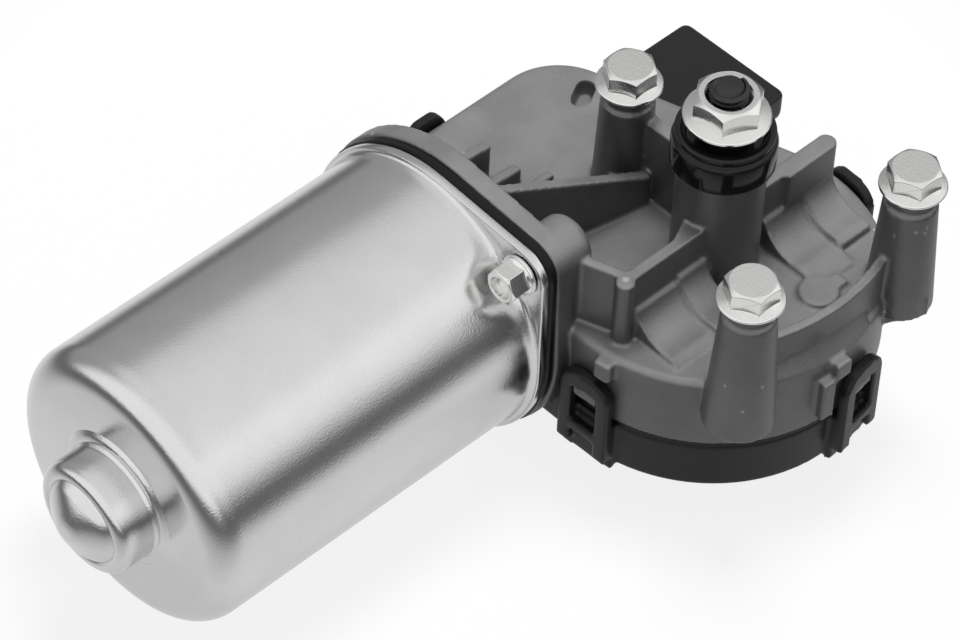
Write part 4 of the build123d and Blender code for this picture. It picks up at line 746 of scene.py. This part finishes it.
# Shaft nut: a zinc-plated M8 flange nut that clamps the crank on its cone. Its thread starts in a
# deep countersink.
NUT_SEAT = 71.4
NUT_TURN = 65.5
nut = flanged_head("flange_nut", across_flats=13.0, height=6.2, flange_radius=8.95, crown=1.2)
countersink = [(5.2, 0), (5.2, 4.1), (6.3, 5.0), (6.3, 0)]
cut_with(nut, turned_piece("countersink", countersink, ORIGIN, UP, 64), "DIFFERENCE")
bore(nut, UP * 3 * MM, UP, radius=4.05, length=12, segments=64)
break_edges(nut, 0.14)
put_in_place(nut, UP * NUT_SEAT * MM, (0, 0, math.radians(NUT_TURN)))
dress(nut, plated_finish, "plated_steel", "output", "shaft_nut")

# Rubber cap: a soft black collar pressed over the top of the tower. Its lip wipes the turning shaft
# and keeps water and salt out of the upper bush.
cap_outline = [(59.6, 9.25), (59.6, 10.5), (59.9, 10.8), (65.4, 10.8), (66.2, 10.5), (66.6, 9.9), (67.0, 9.8)]
cap_outline += [(67.5, 10.2), (68.2, 10.25), (68.6, 9.8), (68.6, 8.7), (67.8, 8.2), (66.6, 7.8), (66.2, 7.0)]
cap_outline += [(66.0, 5.3), (65.2, 5.3), (65.0, 7.6), (63.05, 8.0), (63.05, 9.25), (59.6, 9.25)]
cap = turned_piece("shaft_cap_rubber", cap_outline, ORIGIN, UP, 128)
round_edges(cap, 0.3, angle=25)
cap_finish = new_finish("cap_rubber", dark=(0.003, 0.003, 0.003), light=(0.008, 0.008, 0.008),
                        roughness=(0.08, 0.14), metallic=0.0, scale=1100.0, depth=0.05)
weaken_shine(cap_finish, 0.3)
dress(cap, cap_finish, "black_rubber", "housing", "shaft_cap")

# Steel inside the housing: the armature's ground shaft with its rolled worm, the ball bearing, and the
# wheel's knurled hub. The rings hold the output shaft. The end-play screw and springs are plated.
ground_finish = new_finish("ground_steel", dark=(0.5, 0.5, 0.5), light=(0.75, 0.75, 0.75),
                           roughness=(0.2, 0.35), metallic=1.0, scale=2200.0, depth=0.1)
for name in ("armature_shaft", "bearing_inner_ring", "bearing_balls"):
    dress(nodes[name], ground_finish, "bright_steel", "armature")
for name in ("wheel_hub", "retaining_ring", "thrust_washer"):
    dress(nodes[name], ground_finish, "bright_steel", "output")
for name in ("bearing_outer_ring", "bearing_retainer"):
    dress(nodes[name], ground_finish, "bright_steel", "housing")
for name in ("end_play_screw", "brush_springs"):
    dress(nodes[name], plated_finish, "plated_steel", "housing")

# Armature: a stack of lacquered steel sheets, wound with enamelled copper wire, and a commutator of
# hard-drawn copper bars. The park disc, its contacts and the chokes' coils are copper, too.
sheet_finish = new_finish("laminated_steel", dark=(0.1, 0.1, 0.1), light=(0.2, 0.2, 0.2),
                          roughness=(0.4, 0.55), metallic=0.8, scale=2500.0, depth=0.4)
dress(nodes["armature_core"], sheet_finish, "laminated_steel", "armature")
copper_finish = new_finish("copper", dark=(0.6, 0.25, 0.12), light=(0.85, 0.45, 0.28),
                           roughness=(0.25, 0.4), metallic=1.0, scale=1600.0, depth=0.3)
for name in ("armature_windings", "commutator"):
    dress(nodes[name], copper_finish, "copper", "armature")
dress(nodes["park_disc"], copper_finish, "copper", "output")
for name in ("choke_coils", "park_contacts"):
    dress(nodes[name], copper_finish, "copper", "housing")

# Brush gear: a moulded plate in the casting's spigot carries stamped brass boxes with carbon brushes,
# chokes wound on ferrite rods and a thermal cut-out. The can's magnets are ferrite shells.
dress(nodes["brush_plate"], plastic_finish, "black_plastic", "housing")
dress(nodes["brush_holders"], brass_finish, "brass", "housing")
carbon_finish = new_finish("carbon", dark=(0.03, 0.03, 0.03), light=(0.09, 0.08, 0.07),
                           roughness=(0.5, 0.7), metallic=0.2, scale=2600.0, depth=0.4)
dress(nodes["carbon_brushes"], carbon_finish, "carbon", "housing")
ferrite_finish = new_finish("ferrite", dark=(0.05, 0.05, 0.055), light=(0.12, 0.12, 0.125),
                            roughness=(0.55, 0.7), metallic=0.1, scale=2000.0, depth=0.4)
for name in ("field_magnets", "choke_cores"):
    dress(nodes[name], ferrite_finish, "ferrite", "housing")
case_finish = new_finish("breaker_case", dark=(0.14, 0.08, 0.05), light=(0.22, 0.13, 0.08),
                         roughness=(0.4, 0.5), metallic=0.0, scale=1500.0, depth=0.2)
dress(nodes["circuit_breaker"], case_finish, "circuit_breaker_case", "housing")

# Bushes, seals and the wheel: the bushes are sintered bronze, pressed in and soaked with oil, and a
# felt ring feeds the rear one. The wheel and the thrust pad are moulded from white acetal.
bronze_finish = new_finish("sintered_bronze", dark=(0.3, 0.2, 0.1), light=(0.5, 0.36, 0.2),
                           roughness=(0.4, 0.55), metallic=0.9, scale=2400.0, depth=0.5)
for name in ("lower_bush", "upper_bush", "front_bush", "rear_bearing"):
    dress(nodes[name], bronze_finish, "sintered_bronze", "housing")
felt_finish = new_finish("felt", dark=(0.4, 0.35, 0.26), light=(0.6, 0.55, 0.45),
                         roughness=(0.8, 0.95), metallic=0.0, scale=3000.0, depth=0.8)
dress(nodes["felt_ring"], felt_finish, "felt", "housing")
dress(nodes["shaft_seal"], rubber_finish, "black_rubber", "housing")
acetal_finish = new_finish("white_plastic", dark=(0.75, 0.74, 0.7), light=(0.85, 0.84, 0.8),
                           roughness=(0.35, 0.5), metallic=0.0, scale=1200.0, depth=0.1)
dress(nodes["worm_wheel"], acetal_finish, "white_plastic", "output")
dress(nodes["thrust_pad"], acetal_finish, "white_plastic", "housing")

# Table: a white sheet just under the motor's lowest point. It is bright round the motor and dim
# further out, and looks pure white to the camera, apart from the motor's shadow.
FLOOR_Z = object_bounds()[0].z
TABLE_GAP = 0.0002
TABLE_SIZE = 3.0
TABLE_CENTRE = (-0.018, 0.047, 0)
WHITE_RADIUS = 0.13
FADE_RADIUS = 0.24
WHITE_NEAR = 0.78
WHITE_FAR = 0.16
GLOW_SHARE = 0.85
nothing_selected()
bpy.ops.mesh.primitive_plane_add(size=TABLE_SIZE, location=(0, 0, FLOOR_Z - TABLE_GAP))
floor = bpy.context.object
floor.name = "table"
floor_finish = bpy.data.materials.new("table_white")
floor_finish.use_nodes = True
tree = floor_finish.node_tree
floor_shader = tree.nodes["Principled BSDF"]
floor_shader.inputs["Roughness"].default_value = 0.9
floor_shader.inputs["Specular IOR Level"].default_value = 0.1
spot = tree.nodes.new("ShaderNodeTexCoord")
from_centre = tree.nodes.new("ShaderNodeVectorMath")
from_centre.operation = "DISTANCE"
from_centre.inputs[1].default_value = TABLE_CENTRE
fade = tree.nodes.new("ShaderNodeMapRange")
fade.inputs["From Min"].default_value = WHITE_RADIUS
fade.inputs["From Max"].default_value = FADE_RADIUS
fade.inputs["To Min"].default_value = WHITE_NEAR
fade.inputs["To Max"].default_value = WHITE_FAR
tree.links.new(spot.outputs["Object"], from_centre.inputs[0])
tree.links.new(from_centre.outputs["Value"], fade.inputs["Value"])
tree.links.new(fade.outputs["Result"], floor_shader.inputs["Base Color"])
glow = tree.nodes.new("ShaderNodeEmission")
path = tree.nodes.new("ShaderNodeLightPath")
paper = tree.nodes.new("ShaderNodeMix")
paper.data_type = "RGBA"
paper.inputs["B"].default_value = (1, 1, 1, 1)
tree.links.new(path.outputs["Is Camera Ray"], paper.inputs["Factor"])
tree.links.new(fade.outputs["Result"], paper.inputs["A"])
tree.links.new(paper.outputs["Result"], glow.inputs["Color"])
seen = tree.nodes.new("ShaderNodeMath")
seen.operation = "MAXIMUM"
seen_through = tree.nodes.new("ShaderNodeMath")
seen_through.operation = "MAXIMUM"
share = tree.nodes.new("ShaderNodeMath")
share.operation = "MULTIPLY"
share.inputs[1].default_value = GLOW_SHARE
mixed = tree.nodes.new("ShaderNodeMixShader")
tree.links.new(path.outputs["Is Camera Ray"], seen.inputs[0])
tree.links.new(path.outputs["Is Glossy Ray"], seen.inputs[1])
tree.links.new(seen.outputs["Value"], seen_through.inputs[0])
tree.links.new(path.outputs["Is Transmission Ray"], seen_through.inputs[1])
tree.links.new(seen_through.outputs["Value"], share.inputs[0])
tree.links.new(share.outputs["Value"], mixed.inputs["Fac"])
tree.links.new(floor_shader.outputs["BSDF"], mixed.inputs[1])
tree.links.new(glow.outputs["Emission"], mixed.inputs[2])
tree.links.new(mixed.outputs["Shader"], tree.nodes["Material Output"].inputs["Surface"])
floor.data.materials.append(floor_finish)

# Room: a bright ceiling and window side, and a dim horizon that draws the dark bands on the can. The
# end wall lights the can's closed end. Each side is a list of (height, brightness) steps.
ROOM_AS_SEEN = 1.1
ROOM_AS_LIGHT = 0.33
WINDOW_SIDE = [(0.0, 0.1), (0.46, 0.05), (0.505, 0.1), (0.545, 0.32)]
WINDOW_SIDE += [(0.66, 0.88), (0.8, 1.0), (0.88, 0.84), (1.0, 0.8)]
DARK_SIDE = [(0.0, 0.2), (0.46, 0.3), (0.5, 0.33), (0.6, 0.33)]
DARK_SIDE += [(0.81, 0.4), (0.88, 0.68), (0.94, 0.76), (1.0, 0.8)]
SIDES_MEET = (-0.25, 0.3)
END_WALL = (-0.3, -0.6)
END_LIGHT = (0.95, 0.95, 0.95, 1)
world = bpy.data.worlds.new("studio")
world.use_nodes = True
sky = world.node_tree
ray = sky.nodes.new("ShaderNodeLightPath")
power = sky.nodes.new("ShaderNodeMapRange")
power.inputs["To Min"].default_value = ROOM_AS_SEEN
power.inputs["To Max"].default_value = ROOM_AS_LIGHT
sky.links.new(ray.outputs["Is Diffuse Ray"], power.inputs["Value"])
sky.links.new(power.outputs["Result"], sky.nodes["Background"].inputs["Strength"])
where = sky.nodes.new("ShaderNodeTexCoord")
split = sky.nodes.new("ShaderNodeSeparateXYZ")
sky.links.new(where.outputs["Generated"], split.inputs["Vector"])
height = sky.nodes.new("ShaderNodeMapRange")
height.inputs["From Min"].default_value = -1.0
sky.links.new(split.outputs["Z"], height.inputs["Value"])
ramps = []
for stops in (WINDOW_SIDE, DARK_SIDE):
    ramp = sky.nodes.new("ShaderNodeValToRGB")
    for position, _ in stops[1:-1]:
        ramp.color_ramp.elements.new(position)
    for element, (position, value) in zip(ramp.color_ramp.elements, stops):
        element.position = position
        element.color = (value, value, value, 1)
    sky.links.new(height.outputs["Result"], ramp.inputs["Fac"])
    ramps.append(ramp)
side = sky.nodes.new("ShaderNodeMapRange")
side.inputs["From Min"].default_value = SIDES_MEET[0]
side.inputs["From Max"].default_value = SIDES_MEET[1]
sky.links.new(split.outputs["Y"], side.inputs["Value"])
room = sky.nodes.new("ShaderNodeMix")
room.data_type = "RGBA"
sky.links.new(side.outputs["Result"], room.inputs["Factor"])
sky.links.new(ramps[0].outputs["Color"], room.inputs["A"])
sky.links.new(ramps[1].outputs["Color"], room.inputs["B"])
end_side = sky.nodes.new("ShaderNodeMapRange")
end_side.inputs["From Min"].default_value = END_WALL[0]
end_side.inputs["From Max"].default_value = END_WALL[1]
sky.links.new(split.outputs["X"], end_side.inputs["Value"])
lit_room = sky.nodes.new("ShaderNodeMix")
lit_room.data_type = "RGBA"
lit_room.inputs["B"].default_value = END_LIGHT
sky.links.new(end_side.outputs["Result"], lit_room.inputs["Factor"])
sky.links.new(room.outputs["Result"], lit_room.inputs["A"])
sky.links.new(lit_room.outputs["Result"], sky.nodes["Background"].inputs["Color"])
bpy.context.scene.world = world

# Lamp: one soft box high behind the motor, which leaves the walls that face the camera dim. It isn't
# mirrored in the metal.
LAMP_PLACE = (0.18, 0.14, 1.25)
LAMP_POWER = 17.5
LAMP_SIZE = 0.5
bpy.ops.object.light_add(type="AREA", location=LAMP_PLACE)
lamp = bpy.context.object
lamp.data.energy = LAMP_POWER
lamp.data.size = LAMP_SIZE
lamp.visible_glossy = False
lamp.rotation_mode = "QUATERNION"
lamp.rotation_quaternion = lamp.location.to_track_quat("Z", "Y")
